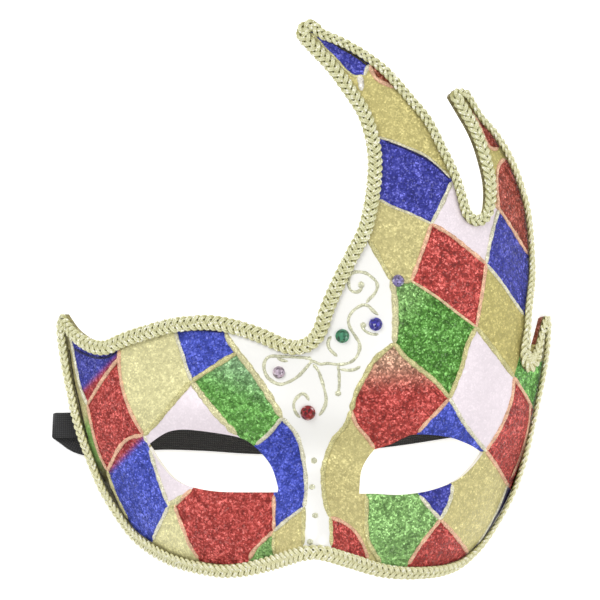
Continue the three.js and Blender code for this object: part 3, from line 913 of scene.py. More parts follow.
def circle(tree):
    ring = add_node(tree, "GeometryNodeCurvePrimitiveCircle", {}, Resolution=TUBE_SIDES, Radius=1.0)
    return ring.outputs[0]


def line_points(tree, mesh, mode, **amount):
    """A mesh line as a curve with even points, by count or by length."""
    curve = add_node(tree, "GeometryNodeMeshToCurve", {}, Mesh=mesh).outputs[0]
    return add_node(tree, "GeometryNodeResampleCurve", {"mode": mode}, Curve=curve, **amount).outputs[0]


def tube(tree, curve, profile, radius, caps=False):
    ends = {"Profile Curve": profile, "Fill Caps": caps}
    return add_node(tree, "GeometryNodeCurveToMesh", {}, Curve=curve, Scale=radius, **ends).outputs[0]


def flattened(tree, geometry, flatness):
    """A tube squashed towards the surface that its middle line lies on."""
    lift = named(tree, "lift", "FLOAT_VECTOR")
    place = tree.nodes.new("GeometryNodeInputPosition").outputs[0]
    from_middle = vectors(tree, "SUBTRACT", place, named(tree, "middle", "FLOAT_VECTOR"))
    height = vectors(tree, "DOT_PRODUCT", from_middle, lift)
    squash = product(tree, height, maths(tree, "SUBTRACT", flatness, 1.0))
    return moved(tree, geometry, vectors(tree, "SCALE", lift, scale=squash))


# Finishes


def new_material(name, roughness, metallic=0.0, coat=0.0):
    material = bpy.data.materials.new(name)
    material.use_nodes = True
    tree = material.node_tree
    shader = tree.nodes["Principled BSDF"]
    shader.inputs["Roughness"].default_value = roughness
    shader.inputs["Metallic"].default_value = metallic
    shader.inputs["Coat Weight"].default_value = coat
    return material, tree, shader


def place_on_piece(tree):
    return tree.nodes.new("ShaderNodeTexCoord").outputs["Object"]


def coloured(tree, shader, colour):
    tree.links.new(colour, shader.inputs["Base Color"])


def bumped(tree, shader, height):
    bump = add_node(tree, "ShaderNodeBump", {}, Height=height, Distance=1.0, Strength=1.0)
    tree.links.new(bump.outputs[0], shader.inputs["Normal"])


def held(tree, name, output="Fac"):
    """What the piece's own attribute holds."""
    return add_node(tree, "ShaderNodeAttribute", {"attribute_name": name}).outputs[output]


def noise(tree, place, scale, detail):
    return add_node(tree, "ShaderNodeTexNoise", {}, Vector=place, Scale=scale, Detail=detail).outputs["Fac"]


def cells(tree, place, scale):
    """Cells of a pattern, and the three random numbers of each."""
    pattern = add_node(tree, "ShaderNodeTexVoronoi", {}, Vector=place, Scale=scale)
    return pattern, add_node(tree, "ShaderNodeSeparateColor", {}, Color=pattern.outputs["Color"]).outputs


def wave(tree, phase):
    return spread_to(tree, maths(tree, "SINE", phase), -1, 1, 0, 1)


def between(tree, share, screens):
    """A mix of two screen colours."""
    return blended(tree, share, linear(screens[0]), linear(screens[1]))


def shades(tree, random, power, reach, contrast):
    """Random brightness about 1, as far below and above as the contrast times the reach."""
    lifted = maths(tree, "POWER", random, power)
    return spread_to(tree, lifted, 0, 1, 1 - reach[0] * contrast, 1 + reach[1] * contrast)


def grain_relief(tree, place, grains):
    """Each grain of glitter is a small flat facet with its own random tilt."""
    offset = vectors(tree, "SUBTRACT", place, grains.outputs["Position"])
    tilt = vectors(tree, "SUBTRACT", grains.outputs["Color"], (0.5, 0.5, 0.5))
    return product(tree, vectors(tree, "DOT_PRODUCT", offset, tilt), GRAIN_TILT)


def glitter_material(name, grain, metallic, roughness, contrast):
    """Glitter in the colour that the piece's own paint attribute holds."""
    material, tree, shader = new_material(name, roughness, metallic)
    place = place_on_piece(tree)
    amount = held(tree, "glitter")
    grains, random = cells(tree, place, 1 / (grain * MM))
    _, clump = cells(tree, place, CLUMPS_A_GRAIN / (grain * MM))
    patches = spread_to(tree, noise(tree, place, *PATCHES), *NOISE_RANGE, *PATCH_SHADES)
    grain_shade = shades(tree, random[0], GRAIN_POWER, GRAIN_SHADES, contrast)
    clump_shade = shades(tree, clump[0], CLUMP_POWER, CLUMP_SHADES, contrast)
    shade = product(tree, grain_shade, clump_shade, patches)
    lift = product(tree, maths(tree, "SUBTRACT", shade, 1.0), amount)
    colour = vectors(tree, "SCALE", held(tree, "paint", "Color"), scale=maths(tree, "ADD", lift, 1.0))
    # Painted highlights: glints on bright grains and a few flashing grains
    glint = product(tree, maths(tree, "MAXIMUM", lift, 0.0), GLINT_SHARE)
    colour = vectors(tree, "ADD", colour, vectors(tree, "SCALE", GLINT_COLOUR, scale=glint))
    flash = product(tree, maths(tree, "GREATER_THAN", random[1], FLASH_ABOVE), amount)
    gain = maths(tree, "ADD", product(tree, flash, FLASH_GAIN), 1.0)
    colour = vectors(tree, "SCALE", colour, scale=gain)
    coloured(tree, shader, blended(tree, product(tree, flash, FLASH_SHARE), colour, FLASH_COLOUR))
    shader.inputs["Specular IOR Level"].default_value = GLITTER_SPECULAR
    grain_height = product(tree, grain_relief(tree, place, grains), amount)
    paint_height = product(tree, noise(tree, place, *PAINT_GRAIN), PAINT_RELIEF * MM)
    bumped(tree, shader, maths(tree, "ADD", grain_height, paint_height))
    return material


def paper_material():
    """Bare inside of the shell: off-white papier-mache with laid strips and fibres."""
    material, tree, shader = new_material("papier_mache", roughness=0.75)
    place = place_on_piece(tree)
    clouds = noise(tree, place, *PAPER_CLOUDS)
    coloured(tree, shader, between(tree, spread_to(tree, clouds, *NOISE_RANGE, 0, 1), PAPER_COLOURS))
    edges = {"feature": "DISTANCE_TO_EDGE"}
    strips = add_node(tree, "ShaderNodeTexVoronoi", edges, Vector=place, Scale=PAPER_STRIPS)
    overlap = spread_to(tree, strips.outputs["Distance"], 0, PAPER_OVERLAP, 0, 1)
    fibre_height = product(tree, noise(tree, place, *PAPER_FIBRES), PAPER_FIBRE_HEIGHT * MM)
    bumped(tree, shader, maths(tree, "ADD", fibre_height, product(tree, overlap, PAPER_OVERLAP_HEIGHT * MM)))
    return material


def gimp_material():
    """Metallic thread wound round each cord of the braid."""
    material, tree, shader = new_material("gold_gimp_thread", roughness=0.45, metallic=0.1)
    place = place_on_piece(tree)
    turns_along = product(tree, held(tree, "along"), 2 * math.pi / (THREAD_PITCH * MM))
    thread = wave(tree, maths(tree, "ADD", turns_along, product(tree, held(tree, "around"), 2 * math.pi)))
    # Painted shade: strands low in the plait take the darker colours
    high = spread_to(tree, held(tree, "height"), -GIMP_LIFT * MM, GIMP_LIFT * MM, 0, 1)
    unshaded = blended(tree, high, between(tree, thread, UNSHADED_LOW), between(tree, thread, UNSHADED_HIGH))
    shaded = blended(tree, high, between(tree, thread, SHADED_LOW), between(tree, thread, SHADED_HIGH))
    # Painted shade: darker upwards, and unshaded again at the right edge
    ways = add_node(tree, "ShaderNodeSeparateXYZ", {}, Vector=place).outputs
    upper = spread_to(tree, ways["Y"], *GIMP_SHADED_UP, 0, 1)
    shaded_share = product(tree, upper, spread_to(tree, ways["X"], *GIMP_UNSHADED_RIGHT, 1, 0))
    # Painted glints on the thread
    _, random = cells(tree, place, 1 / (THREAD_GLINT * MM))
    thread_glint = maths(tree, "GREATER_THAN", random[0], THREAD_GLINTS_ABOVE)
    colour = blended(tree, thread_glint, blended(tree, shaded_share, unshaded, shaded), linear(THREAD_GLINT_COLOUR))
    coloured(tree, shader, colour)
    bumped(tree, shader, product(tree, thread, THREAD_HEIGHT * MM))
    return material


def shade_backing_material():
    """Glue-stiffened olive backing of the gimp, dark as painted shade that shows in the gaps between its
    loops.
    """
    material, tree, shader = new_material("gimp_shade_backing", roughness=0.8)
    mottle = spread_to(tree, noise(tree, place_on_piece(tree), *BACKING_MOTTLE), *NOISE_RANGE, 0, 1)
    coloured(tree, shader, between(tree, mottle, BACKING_SHADE_COLOURS))
    return material


def stone_material(name, screen):
    """A foil-backed stone, with painted reflections: each facet is darker or lighter at random, and the
    brightest get a painted highlight.
    """
    material, tree, shader = new_material(name, roughness=0.1, metallic=0.3, coat=0.5)
    facet = held(tree, "facet")
    colour = linear(screen)
    dark = tuple(part * STONE_DARK for part in colour)
    light = tuple(min(1, part * STONE_LIGHT) for part in colour)
    highlight = spread_to(tree, facet, STONE_HIGHLIGHT_ABOVE, 1, 0, STONE_HIGHLIGHT)
    coloured(tree, shader, blended(tree, highlight, blended(tree, facet, dark, light), STONE_HIGHLIGHT_COLOUR))
    return material


def elastic_material():
    """Black woven elastic, with ribs along it and a fine weft across."""
    material, tree, shader = new_material("black_elastic_weave", roughness=0.8)
    shader.inputs["Sheen Weight"].default_value = ELASTIC_SHEEN
    ribs = wave(tree, product(tree, held(tree, "across"), 2 * math.pi / (RIB_WIDTH * MM)))
    weft = wave(tree, product(tree, held(tree, "along"), 2 * math.pi / (WEFT_WIDTH * MM)))
    coloured(tree, shader, between(tree, product(tree, ribs, weft), ELASTIC_COLOURS))
    rib_height = product(tree, ribs, RIB_HEIGHT * MM)
    bumped(tree, shader, maths(tree, "ADD", rib_height, product(tree, weft, WEFT_HEIGHT * MM)))
    return material


# Painted shell


def grid_inside(edge, lines):
    """Rows of sheet points inside the edge, and clear of the lines."""
    low, high = edge.min(axis=0), edge.max(axis=0)
    columns = np.arange(low[0], high[0], PAINT_GRID)
    rows = np.arange(low[1], high[1], PAINT_GRID)
    grid = np.stack(np.meshgrid(columns, rows), axis=-1)
    grid[1::2, :, 0] += PAINT_GRID / 2
    grid = grid.reshape(-1, 2)
    grid = grid[inside_loop(grid, edge)]
    return grid[distances(grid, tree_of(lines)) > GRID_CLEARANCE]


def cut_sheet(edge, eyes, borders):
    """The sheet as triangles between the shell's edge, the eye openings and the borders of the fields."""
    points, edges = [], []

    def add_line(line, closed):
        first = len(points)
        points.extend(line)
        edges.extend((first + i, first + i + 1) for i in range(len(line) - 1))
        if closed:
            edges.append((first + len(line) - 1, first))

    for loop in [edge, *eyes]:
        add_line(loop, True)
    border_start = len(edges)
    for border in borders:
        add_line(border, False)
    corners = [Vector(point) for point in [*points, *grid_inside(edge, points)]]
    places, lines, faces, _, line_sources, _ = delaunay_2d_cdt(corners, edges, [], 0, CUT_TOLERANCE)
    sheet = np.array([tuple(place) for place in places])
    border_edges = set()
    for line, sources in zip(lines, line_sources):
        if any(source >= border_start for source in sources):
            border_edges.add(frozenset(line))
    triangles = np.array([face for face in faces if len(face) == 3])
    middles = sheet[triangles].mean(axis=1)
    kept = inside_loop(middles, edge)
    for eye in eyes:
        kept &= ~inside_loop(middles, eye)
    triangles = triangles[kept]
    first = sheet[triangles[:, 1]] - sheet[triangles[:, 0]]
    second = sheet[triangles[:, 2]] - sheet[triangles[:, 0]]
    backwards = first[:, 0] * second[:, 1] - first[:, 1] * second[:, 0] < 0
    triangles[backwards] = triangles[backwards][:, ::-1]
    return sheet, triangles, border_edges


def sides_of(triangle):
    corners = [int(corner) for corner in triangle]
    return list(zip(corners, corners[1:] + corners[:1]))


def filled_fields(sheet, triangles, border_edges):
    """The field of each triangle, spread from each field's seed as far as the borders."""
    by_edge = {}
    for index, triangle in enumerate(triangles):
        for side in sides_of(triangle):
            by_edge.setdefault(frozenset(side), []).append(index)
    neighbours = [[] for _ in triangles]
    for edge, pair in by_edge.items():
        if len(pair) == 2 and edge not in border_edges:
            neighbours[pair[0]].append(pair[1])
            neighbours[pair[1]].append(pair[0])
    middles = sheet[triangles].mean(axis=1)
    seeds = on_sheet(from_photo([seed for _, seed in FIELDS]))
    fields = np.full(len(triangles), -1)
    for number, seed in enumerate(seeds):
        start = int(np.argmin(np.sum((middles - seed) ** 2, axis=1)))
        if fields[start] >= 0:
            print("field", FIELDS[number], "runs into", FIELDS[fields[start]])
        waiting = [start]
        fields[start] = number
        while waiting:
            for other in neighbours[waiting.pop()]:
                if fields[other] < 0:
                    fields[other] = number
                    waiting.append(other)
    return fields


def painted_corners(sheet, triangles, fields):
    """Paint and glitter at each triangle's corners. What no field reaches has the bare paint."""
    names = [paint for paint, _ in FIELDS] + [BARE_PAINT]
    paints = np.array([linear(PAINTS[paint]) for paint in names])
    glitters = np.array([GLITTERS.get(paint, GOLD_GLITTER) for paint in names])
    corner_fields = np.repeat(fields, 3)
    colours = paints[corner_fields]
    plan = front_points(sheet)[triangles.ravel()][:, :2]
    for seed, paint, start, end in FADES:
        number = next(i for i, field in enumerate(FIELDS) if field[1] == seed)
        start, end = from_photo([start, end])
        way = end - start
        share = smooth_step(0, 1, (plan - start) @ way / (way @ way))
        share = (share * (corner_fields == number))[:, None]
        colours = colours * (1 - share) + np.array(linear(PAINTS[paint])) * share
    return np.hstack([colours, np.ones((len(colours), 1))]), glitters[corner_fields]


def cut_edges(triangles, count):
    """Walls between the two layers of the shell, along every side that only one triangle has."""
    single = {}
    for triangle in triangles:
        for side in sides_of(triangle):
            single[frozenset(side)] = None if frozenset(side) in single else side
    return [(b, a, a + count, b + count) for a, b in filter(None, single.values())]


def rim_colours(wall_places, corners):
    """Paint of the inside and of the cut edges, which come last among the corners."""
    rim = np.tile(paint_colour(RIM_PAINT), (corners, 1))
    on_walls = rim[corners - 4 * len(wall_places):]
    for paint, pixel, reach in RIM_PATCHES:
        near = np.linalg.norm(wall_places - from_photo([pixel]), axis=1) < reach / PIXELS_PER_MM
        on_walls[np.repeat(near, 4)] = paint_colour(paint)
    return rim


def make_shell(edge, eyes, borders, materials):
    """The shell as a painted front, a bare inside and the cut edges between them."""
    sheet, triangles, border_edges = cut_sheet(edge, eyes, borders)
    fields = filled_fields(sheet, triangles, border_edges)
    colours, glitter = painted_corners(sheet, triangles, fields)
    at_edge = distances(sheet, tree_of(edge))[triangles.ravel()] < TINY
    colours[at_edge] = paint_colour(RIM_PAINT)
    used, numbering = np.unique(triangles, return_inverse=True)
    sheet, triangles = sheet[used], numbering.reshape(triangles.shape)
    outside, inside = front_points(sheet), raised(sheet, -WALL)
    for layer in (outside, inside):
        layer[:, 2] = np.maximum(layer[:, 2], 0)
    walls = cut_edges(triangles, len(sheet))
    faces = triangles.tolist() + (triangles[:, ::-1] + len(sheet)).tolist() + walls
    mesh = bpy.data.meshes.new("painted_shell")
    mesh.from_pydata(in_frame(np.vstack([outside, inside])).tolist(), [], faces)
    wall_starts = [wall[0] for wall in walls]
    at_eye = distances(sheet[wall_starts], tree_of(np.vstack(eyes))) < TINY
    bare = [0] * len(triangles) + [1] * len(triangles) + [int(eye) for eye in at_eye]
    mesh.polygons.foreach_set("material_index", bare)
    rest = len(mesh.loops) - len(colours)
    rim = rim_colours(outside[wall_starts, :2], rest)
    store(mesh, "paint", "FLOAT_COLOR", "CORNER", np.vstack([colours, rim]))
    store(mesh, "glitter", "FLOAT", "CORNER", np.concatenate([glitter, np.ones(rest)]))
    mesh.shade_smooth()
    mesh.set_sharp_from_angle(angle=SHARP_ANGLE)
    return add_piece("painted_shell", mesh, materials)


# Glitter glue


def glue_tree(material):
    """Flattened, lumpy beads along lines that lie on the surface."""
    sizes = {"Step": GLUE_STEP * MM, "Flatness": GLUE_FLATNESS}
    tree, sources, targets = geometry_tree("glue_beads", sizes)
    curve = line_points(tree, sources["Geometry"], "LENGTH", Length=sources["Step"])
    place = tree.nodes.new("GeometryNodeInputPosition").outputs[0]
    lumpy = spread_to(tree, noise(tree, place, *GLUE_LUMPS), *NOISE_RANGE, *GLUE_LUMP_SIZES)
    travelled = tree.nodes.new("GeometryNodeSplineParameter").outputs["Length"]
    length = tree.nodes.new("GeometryNodeSplineLength").outputs["Length"]
    to_end = maths(tree, "MINIMUM", travelled, maths(tree, "SUBTRACT", length, travelled))
    girth = named(tree, "girth", "FLOAT")
    end_share = spread_to(tree, maths(tree, "DIVIDE", to_end, girth), 0, GLUE_END_REACH, GLUE_END_SIZE, 1)
    radius = product(tree, girth, lumpy, maths(tree, "POWER", end_share, GLUE_END_POWER))
    curve = stored(tree, curve, "middle", "FLOAT_VECTOR", place)
    bead = flattened(tree, tube(tree, curve, circle(tree), radius, caps=True), sources["Flatness"])
    tree.links.new(dressed(tree, smooth_and_real(tree, bead), material), targets["Geometry"])
    return tree, sizes


def runs_of(kept):
    """Where each unbroken run of True starts and ends."""
    marks = np.flatnonzero(np.diff(np.concatenate([[0], kept.astype(int), [0]])))
    return list(zip(marks[::2], marks[1::2]))


def glue_mesh(name, lines, edge, eyes, gimp_sheet, gimp_share):
    """Lines as (paint, half width, sheet points), cut back from the braid and the eye openings."""
    gimp_places = tree_of(front_points(gimp_sheet))
    eye_tree = tree_of(front_points(np.vstack(eyes)))
    places, links, lifts, girths, paints = [], [], [], [], []
    for paint, girth, sheet in lines:
        surface = front_points(sheet)
        nearest = [gimp_places.find(Vector(place))[1:] for place in surface]
        covered = np.array([gimp_share[index] * BRAID_WIDTH / 2 - GLUE_TUCK for index, _ in nearest])
        kept = inside_loop(sheet, edge) & (np.array([apart for _, apart in nearest]) > covered)
        kept &= (distances(surface, eye_tree) > GLUE_CLEAR_OF_EYE) & (surface[:, 2] > girth)
        for eye in eyes:
            kept &= ~inside_loop(sheet, eye)
        for start, end in runs_of(kept):
            if end - start < 2:
                continue
            first = len(places)
            places.extend(in_frame(surface[start:end]))
            lifts.extend(front_normals(sheet[start:end]))
            links.extend((first + i, first + i + 1) for i in range(end - start - 1))
            girths.extend([girth * MM] * (end - start))
            paints.extend([paint_colour(paint)] * (end - start))
    mesh = bpy.data.meshes.new(name)
    mesh.from_pydata(np.array(places).tolist(), links, [])
    store(mesh, "lift", "FLOAT_VECTOR", "POINT", lifts)
    store(mesh, "girth", "FLOAT", "POINT", girths)
    store(mesh, "paint", "FLOAT_COLOR", "POINT", paints)
    store(mesh, "glitter", "FLOAT", "POINT", np.ones(len(girths)))
    return mesh


def photo_line(pixels, step):
    """A smooth line through pixels as sheet points, with the step in millimetres."""
    return on_sheet(from_photo(through(pixels, step * PIXELS_PER_MM, keep_points=True)))


def dot_line(pixel):
    """A line so short that its bead is a dot."""
    x, y = pixel
    reach = DOT_SPREAD * PIXELS_PER_MM
    return photo_line([(x - reach, y), (x, y), (x + reach, y)], DOT_SPREAD / DOT_STEPS)


# Gimp braid


def room_across(surface, inwards):
    """Half the width that the braid can have at each point before it meets another stretch of itself."""
    count = len(surface)
    ways = surface[None] - surface[:, None]
    facing = np.einsum("ijk,ik->ij", ways, inwards)
    steps = np.abs(np.arange(count)[None] - np.arange(count)[:, None])
    steps = np.minimum(steps, count - steps)
    across = (facing > TINY) & (steps > GIMP_NEIGHBOURS / EDGE_GRID)
    room = np.where(across, np.sum(ways**2, axis=2) / np.maximum(TINY, 2 * facing), np.inf)
    return np.min(room, axis=1)


def shown_width(surface):
    """The share of the braid's width that shows at each point of the edge."""
    hints = from_photo([pixel for pixel, _ in GIMP_SHARES])
    nearest = np.array([np.argmin(np.sum((surface[:, :2] - hint) ** 2, axis=1)) for hint in hints])
    order = np.argsort(nearest)
    shares = np.array([share for _, share in GIMP_SHARES])
    return np.interp(np.arange(len(surface)), nearest[order], shares[order], period=len(surface))


def braid_middle(edge):
    """The braid's middle line on the sheet, and the share of the full width that it has there."""
    surface = front_points(edge)
    inwards = inward(surface, front_normals(edge))
    half = np.minimum(shown_width(surface) * BRAID_WIDTH / 2, room_across(surface, inwards))
    half = eased(np.maximum(half, GIMP_MIN_SHARE * BRAID_WIDTH / 2), GIMP_WIDTH_ROUNDS)
    overhang = GIMP_OVERHANG + GIMP_TURN_OVER * np.maximum(0, -inwards[:, 2])
    move = inwards * (half - overhang)[:, None]
    along_side, along_up = front_slopes(edge)
    shift = np.empty_like(edge)
    for i in range(len(edge)):
        basis = np.stack([along_side[i], along_up[i]], axis=1)
        shift[i] = np.linalg.lstsq(basis, move[i], rcond=None)[0]
    middle = edge + shift
    kept = np.sum(onward(middle) * onward(edge), axis=1) > 0
    return eased(middle[kept], GIMP_MIDDLE_ROUNDS), half[kept] * 2 / BRAID_WIDTH


def gimp_shade_backing(tree, curve, sources, material):
    """The dark flat backing under the plait, painted shade that shows between its loops."""
    place = tree.nodes.new("GeometryNodeInputPosition").outputs[0]
    down = product(tree, sources["Backing drop"], -1.0)
    lowered = moved(tree, curve, vectors(tree, "SCALE", named(tree, "lift", "FLOAT_VECTOR"), scale=down))
    marked = stored(tree, lowered, "middle", "FLOAT_VECTOR", place)
    width = product(tree, named(tree, "share", "FLOAT"), sources["Backing"])
    flat = flattened(tree, tube(tree, marked, circle(tree), width), sources["Flatness"])
    return dressed(tree, flat, material)


def plaited_cords(tree, base, sources, material):
    """Strands that swing from side to side and over each other, each of cords that lie side by side."""
    copies = add_node(
        tree, "GeometryNodeDuplicateElements", {"domain": "SPLINE"}, Geometry=base, Amount=sources["Cords"]
    )
    number = copies.outputs["Duplicate Index"]
    strand = maths(tree, "MODULO", number, sources["Strands"])
    cord = maths(tree, "FLOOR", maths(tree, "DIVIDE", number, sources["Strands"]))
    factor = tree.nodes.new("GeometryNodeSplineParameter").outputs["Factor"]
    start = maths(tree, "DIVIDE", strand, sources["Strands"])
    turns = maths(tree, "ADD", product(tree, factor, sources["Turns"]), start)
    phase = product(tree, turns, 2 * math.pi)
    share = named(tree, "share", "FLOAT")
    lift = named(tree, "lift", "FLOAT_VECTOR")
    swing = product(tree, maths(tree, "SINE", phase), sources["Swing"], share)
    rise = product(tree, maths(tree, "SINE", product(tree, phase, 2.0)), sources["Lift"])
    sideways = vectors(tree, "SCALE", named(tree, "inward", "FLOAT_VECTOR"), scale=swing)
    offset = vectors(tree, "ADD", sideways, vectors(tree, "SCALE", lift, scale=rise))
    marked = stored(tree, copies.outputs["Geometry"], "height", "FLOAT", rise)
    plaited = moved(tree, marked, offset)
    tangent = tree.nodes.new("GeometryNodeInputTangent").outputs[0]
    across = vectors(tree, "NORMALIZE", vectors(tree, "CROSS_PRODUCT", lift, tangent))
    beside = product(tree, maths(tree, "SUBTRACT", cord, (GIMP_CORDS - 1) / 2), sources["Cord gap"], share)
    paired = moved(tree, plaited, vectors(tree, "SCALE", across, scale=beside))
    travelled = tree.nodes.new("GeometryNodeSplineParameter").outputs["Length"]
    curve = stored(tree, paired, "along", "FLOAT", travelled)
    round_share = tree.nodes.new("GeometryNodeSplineParameter").outputs["Factor"]
    profile = stored(tree, circle(tree), "around", "FLOAT", round_share)
    thick = product(tree, sources["Cord radius"], spread_to(tree, share, 0, 1, GIMP_THINNEST, 1))
    return dressed(tree, tube(tree, curve, profile, thick), material)


def gimp_tree(cord_finish, shade_backing_finish, length):
    """A flat plait with its backing, along a closed line of the given length in millimetres."""
    sizes = {
        "Cords": GIMP_STRANDS * GIMP_CORDS, "Strands": GIMP_STRANDS, "Samples": round(length / GIMP_STEP),
        "Turns": float(round(length / (GIMP_SCALLOP * GIMP_STRANDS))), "Swing": GIMP_SWING * MM,
        "Lift": GIMP_LIFT * MM, "Cord radius": GIMP_CORD_RADIUS * MM, "Cord gap": GIMP_CORD_GAP * MM,
        "Backing": GIMP_BACKING * MM, "Backing drop": GIMP_BACKING_DROP * MM,
        "Flatness": GIMP_BACKING_FLATNESS,
    }
    tree, sources, targets = geometry_tree("flat_plait", sizes)
    base = line_points(tree, sources["Geometry"], "COUNT", Count=sources["Samples"])
    both = tree.nodes.new("GeometryNodeJoinGeometry")
    backing = gimp_shade_backing(tree, base, sources, shade_backing_finish)
    for geometry in (backing, plaited_cords(tree, base, sources, cord_finish)):
        tree.links.new(geometry, both.inputs[0])
    tree.links.new(smooth_and_real(tree, both.outputs[0]), targets["Geometry"])
    return tree, sizes


def make_gimp(middle, share, cord_finish, shade_backing_finish):
    """The braid along its middle line, raised where its cords would reach into the floor."""
    surface = raised(middle, GIMP_HEIGHT)
    normals = front_normals(middle)
    inwards = inward(surface, normals)
    length = float(np.sum(np.linalg.norm(np.roll(surface, -1, axis=0) - surface, axis=1)))
    reach = GIMP_SWING + 2 * GIMP_CORD_RADIUS
    outer_height = surface[:, 2] - inwards[:, 2] * reach * share
    surface[:, 2] += np.maximum(0, GIMP_CORD_RADIUS + GIMP_LIFT + GIMP_OFF_FLOOR - outer_height)
    mesh = bpy.data.meshes.new("gimp_middle")
    count = len(surface)
    mesh.from_pydata(in_frame(surface).tolist(), [(i, (i + 1) % count) for i in range(count)], [])
    store(mesh, "lift", "FLOAT_VECTOR", "POINT", normals)
    store(mesh, "inward", "FLOAT_VECTOR", "POINT", inwards)
    store(mesh, "share", "FLOAT", "POINT", share)
    tree, sizes = gimp_tree(cord_finish, shade_backing_finish, length)
    return made_by_nodes("gimp_braid", mesh, tree, sizes)


# Stones


def make_stone(name, x, y, radius, screen):
    """A cut stone: a girdle, two rows of facets and a low star of facets on top."""
    height = STONE_HEIGHT * radius
    rings = [(count, turn, share, up * height) for count, turn, share, up in STONE_RINGS]
    rings.insert(0, (*rings[0][:3], -TRIM_GAP))
    shape = bmesh.new()
    for count, turn, share, up in rings:
        for i in range(count):
            angle = 2 * math.pi * (i + turn) / count
            shape.verts.new((radius * share * math.cos(angle), radius * share * math.sin(angle), up))
    bmesh.ops.convex_hull(shape, input=shape.verts)
    bmesh.ops.dissolve_limit(shape, angle_limit=FACET_FLATNESS, verts=shape.verts, edges=shape.edges)
    bmesh.ops.recalc_face_normals(shape, faces=shape.faces)
    sheet = on_sheet(np.array([[x, y]]))
    place, normal = raised(sheet, TRIM_GAP)[0], Vector(front_normals(sheet)[0])
    turn = Vector((0, 0, 1)).rotation_difference(normal)
    for corner in shape.verts:
        corner.co = Vector(in_frame([turn @ corner.co + Vector(place)])[0])
    mesh = bpy.data.meshes.new(name + "_cut")
    shape.to_mesh(mesh)
    shape.free()
    # A random painted reflection for each facet
    light = np.random.default_rng(len(name) * STONE_SEED).random(len(mesh.polygons))
    store(mesh, "facet", "FLOAT", "FACE", light)
    return add_piece(name + "_cut", mesh, [stone_material(name, screen)])


# Elastic band


def strap_section():
    """Corners of the flat section with its rounded edges, as width and height about the middle."""
    half, flat, edge = STRAP_WIDTH / 2, STRAP_THICKNESS / 2, STRAP_EDGE_ROUND
    inner = np.linspace(half - edge, -half + edge, STRAP_POINTS_ACROSS)
    section = [(half, edge), *[(width, flat) for width in inner], (-half, edge), (-half, -edge)]
    return section + [*[(width, -flat) for width in inner[::-1]], (half, -edge)]


def make_strap(material):
    """The band along its route, flat side up where it lies level, and the route in the row's frame."""
    centres = through(STRAP_ROUTE, STRAP_STEP, centripetal=True)
    along = unit(np.gradient(centres, axis=0))
    across = unit(np.array([0.0, 1.0, 0.0]) - along * along[:, 1:2])
    up = np.cross(along, across)
    section = strap_section()
    sides = len(section)
    rings = [centres + across * width + up * height for width, height in section]
    places = np.stack(rings, axis=1).reshape(-1, 3)
    faces = []
    for i in range(len(centres) - 1):
        for k in range(sides):
            a, b = i * sides + k, i * sides + (k + 1) % sides
            faces.append((a, a + sides, b + sides, b))
    faces.append(tuple(range(sides)))
    faces.append(tuple((len(centres) - 1) * sides + k for k in reversed(range(sides))))
    mesh = bpy.data.meshes.new("elastic_band")
    mesh.from_pydata(in_frame(places).tolist(), [], faces)
    store(mesh, "along", "FLOAT", "POINT", np.repeat(distance_along(centres) * MM, sides))
    store(mesh, "across", "FLOAT", "POINT", np.tile([width * MM for width, _ in section], len(centres)))
    mesh.shade_smooth()
    mesh.set_sharp_from_angle(angle=SHARP_ANGLE)
    return add_piece("elastic_band", mesh, [material]), in_frame(centres)


# Studio


def make_camera():
    middle = from_photo([(FRAME_PIXELS / 2, FRAME_PIXELS / 2)])[0]
    place = in_frame([(*middle, 0)])[0]
    camera = bpy.data.objects.new("camera", bpy.data.cameras.new("camera"))
    bpy.context.scene.collection.objects.link(camera)
    camera.location = (place[0], place[1], CAMERA_HEIGHT)
    field = FRAME_PIXELS / PIXELS_PER_MM * MM
    camera.data.sensor_width = SENSOR
    camera.data.lens = SENSOR * (CAMERA_HEIGHT - SHARP_PLANE) / field
    camera.data.clip_end = CAMERA_REACH
    bpy.context.scene.camera = camera


def make_floor():
    shape = bmesh.new()
    bmesh.ops.create_grid(shape, x_segments=4, y_segments=4, size=FLOOR_SIZE)
    mesh = bpy.data.meshes.new("floor")
    shape.to_mesh(mesh)
    shape.free()
    material, _, shader = new_material("pale_floor", roughness=0.9)
    shader.inputs["Base Color"].default_value = (FLOOR_GREY, FLOOR_GREY, FLOOR_GREY, 1)
    shader.inputs["Emission Color"].default_value = (1, 1, 1, 1)
    shader.inputs["Emission Strength"].default_value = FLOOR_GLOW
    floor = add_piece("floor", mesh, [material])
    floor.location.z = -FLOOR_DROP


def make_light():
    world = bpy.data.worlds.new("studio")
    bpy.context.scene.world = world
    world.use_nodes = True
    sky = world.node_tree.nodes["Background"].inputs
    sky["Color"].default_value = (1, 1, 1, 1)
    sky["Strength"].default_value = SKY_STRENGTH
    for name, place, size, power in LAMPS:
        lamp = bpy.data.lights.new(name, "AREA")
        lamp.size = size
        lamp.energy = power
        light = bpy.data.objects.new(name, lamp)
        bpy.context.scene.collection.objects.link(light)
        light.location = place
        light.rotation_euler = (-Vector(place)).to_track_quat("-Z", "Y").to_euler()
    bpy.context.scene.view_settings.view_transform = "Standard"


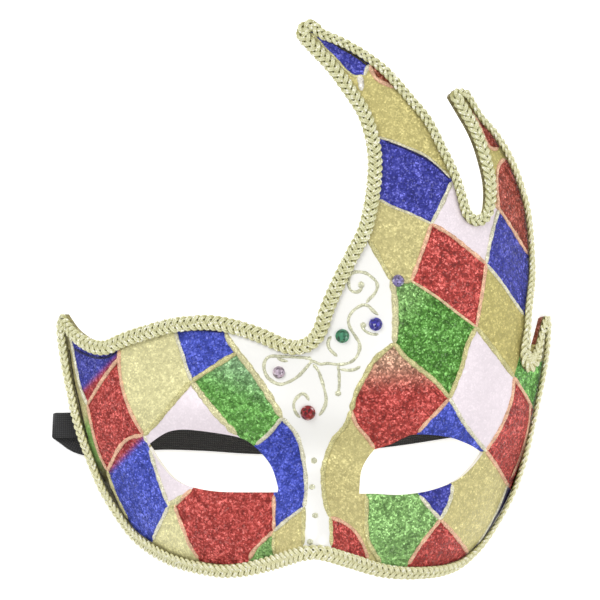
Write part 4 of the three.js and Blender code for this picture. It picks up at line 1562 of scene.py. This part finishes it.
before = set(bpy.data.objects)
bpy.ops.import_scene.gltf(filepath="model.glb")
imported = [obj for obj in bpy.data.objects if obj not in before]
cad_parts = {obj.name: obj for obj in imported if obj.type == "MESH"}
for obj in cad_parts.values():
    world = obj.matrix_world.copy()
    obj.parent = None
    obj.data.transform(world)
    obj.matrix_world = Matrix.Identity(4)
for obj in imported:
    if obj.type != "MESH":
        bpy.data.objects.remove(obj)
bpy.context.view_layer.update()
make_camera()

strap, strap_path = make_strap(elastic_material())
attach(strap, "root")
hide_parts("strap")

edge_sheet = on_sheet(under_braid(closed_loop(OUTLINE, EDGE_GRID)))
eye_sheets = [on_sheet(closed_loop(eye, EDGE_GRID)) for eye in (LEFT_EYE, RIGHT_EYE)]
gimp_sheet, gimp_share = braid_middle(edge_sheet)
borders = [line for _, line in GLUE_LINES] + BARE_BORDERS
border_sheets = [photo_line(line, BORDER_STEP) for line in borders]
painted_glitter = glitter_material("painted_glitter", **PAINTED_GLITTER)
shell = make_shell(edge_sheet, eye_sheets, border_sheets, [painted_glitter, paper_material()])
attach(shell, "root")
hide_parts("mask_shell")

bead_tree, bead_sizes = glue_tree(glitter_material("glitter_glue", **GLUE_GLITTER))
glue_and_shadow_routes = [(paint, GLUE_HALF_WIDTHS[paint], photo_line(line, ROUTE_STEP)) for paint, line in GLUE_LINES]
# The painted shadow beads go in with the glue lines
glue_and_shadow_routes += [(paint, SHADOW_LINE_HALF_WIDTH, photo_line(line, ROUTE_STEP)) for paint, line in PAINTED_SHADOW_LINES]
scroll_routes = [("scroll glue", SCROLL_HALF_WIDTH, photo_line(line, SCROLL_STEP)) for line in SCROLLS]
scroll_routes += [("scroll glue", DOT_HALF_WIDTH, dot_line(pixel)) for pixel in SCROLL_DOTS]
for name, routes in (("glue_lines", glue_and_shadow_routes), ("scrollwork", scroll_routes)):
    line_mesh = glue_mesh(name, routes, edge_sheet, eye_sheets, gimp_sheet, gimp_share)
    beads = made_by_nodes(name, line_mesh, bead_tree, bead_sizes)
    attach(beads, "root")

gimp = make_gimp(gimp_sheet, gimp_share, gimp_material(), shade_backing_material())
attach(gimp, "root")
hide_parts("braid_trim")

for name, (x, y, radius, screen) in STONES.items():
    stone = make_stone(name, x, y, radius, screen)
    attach(stone, "root")
    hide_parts(name)

make_floor()
make_light()
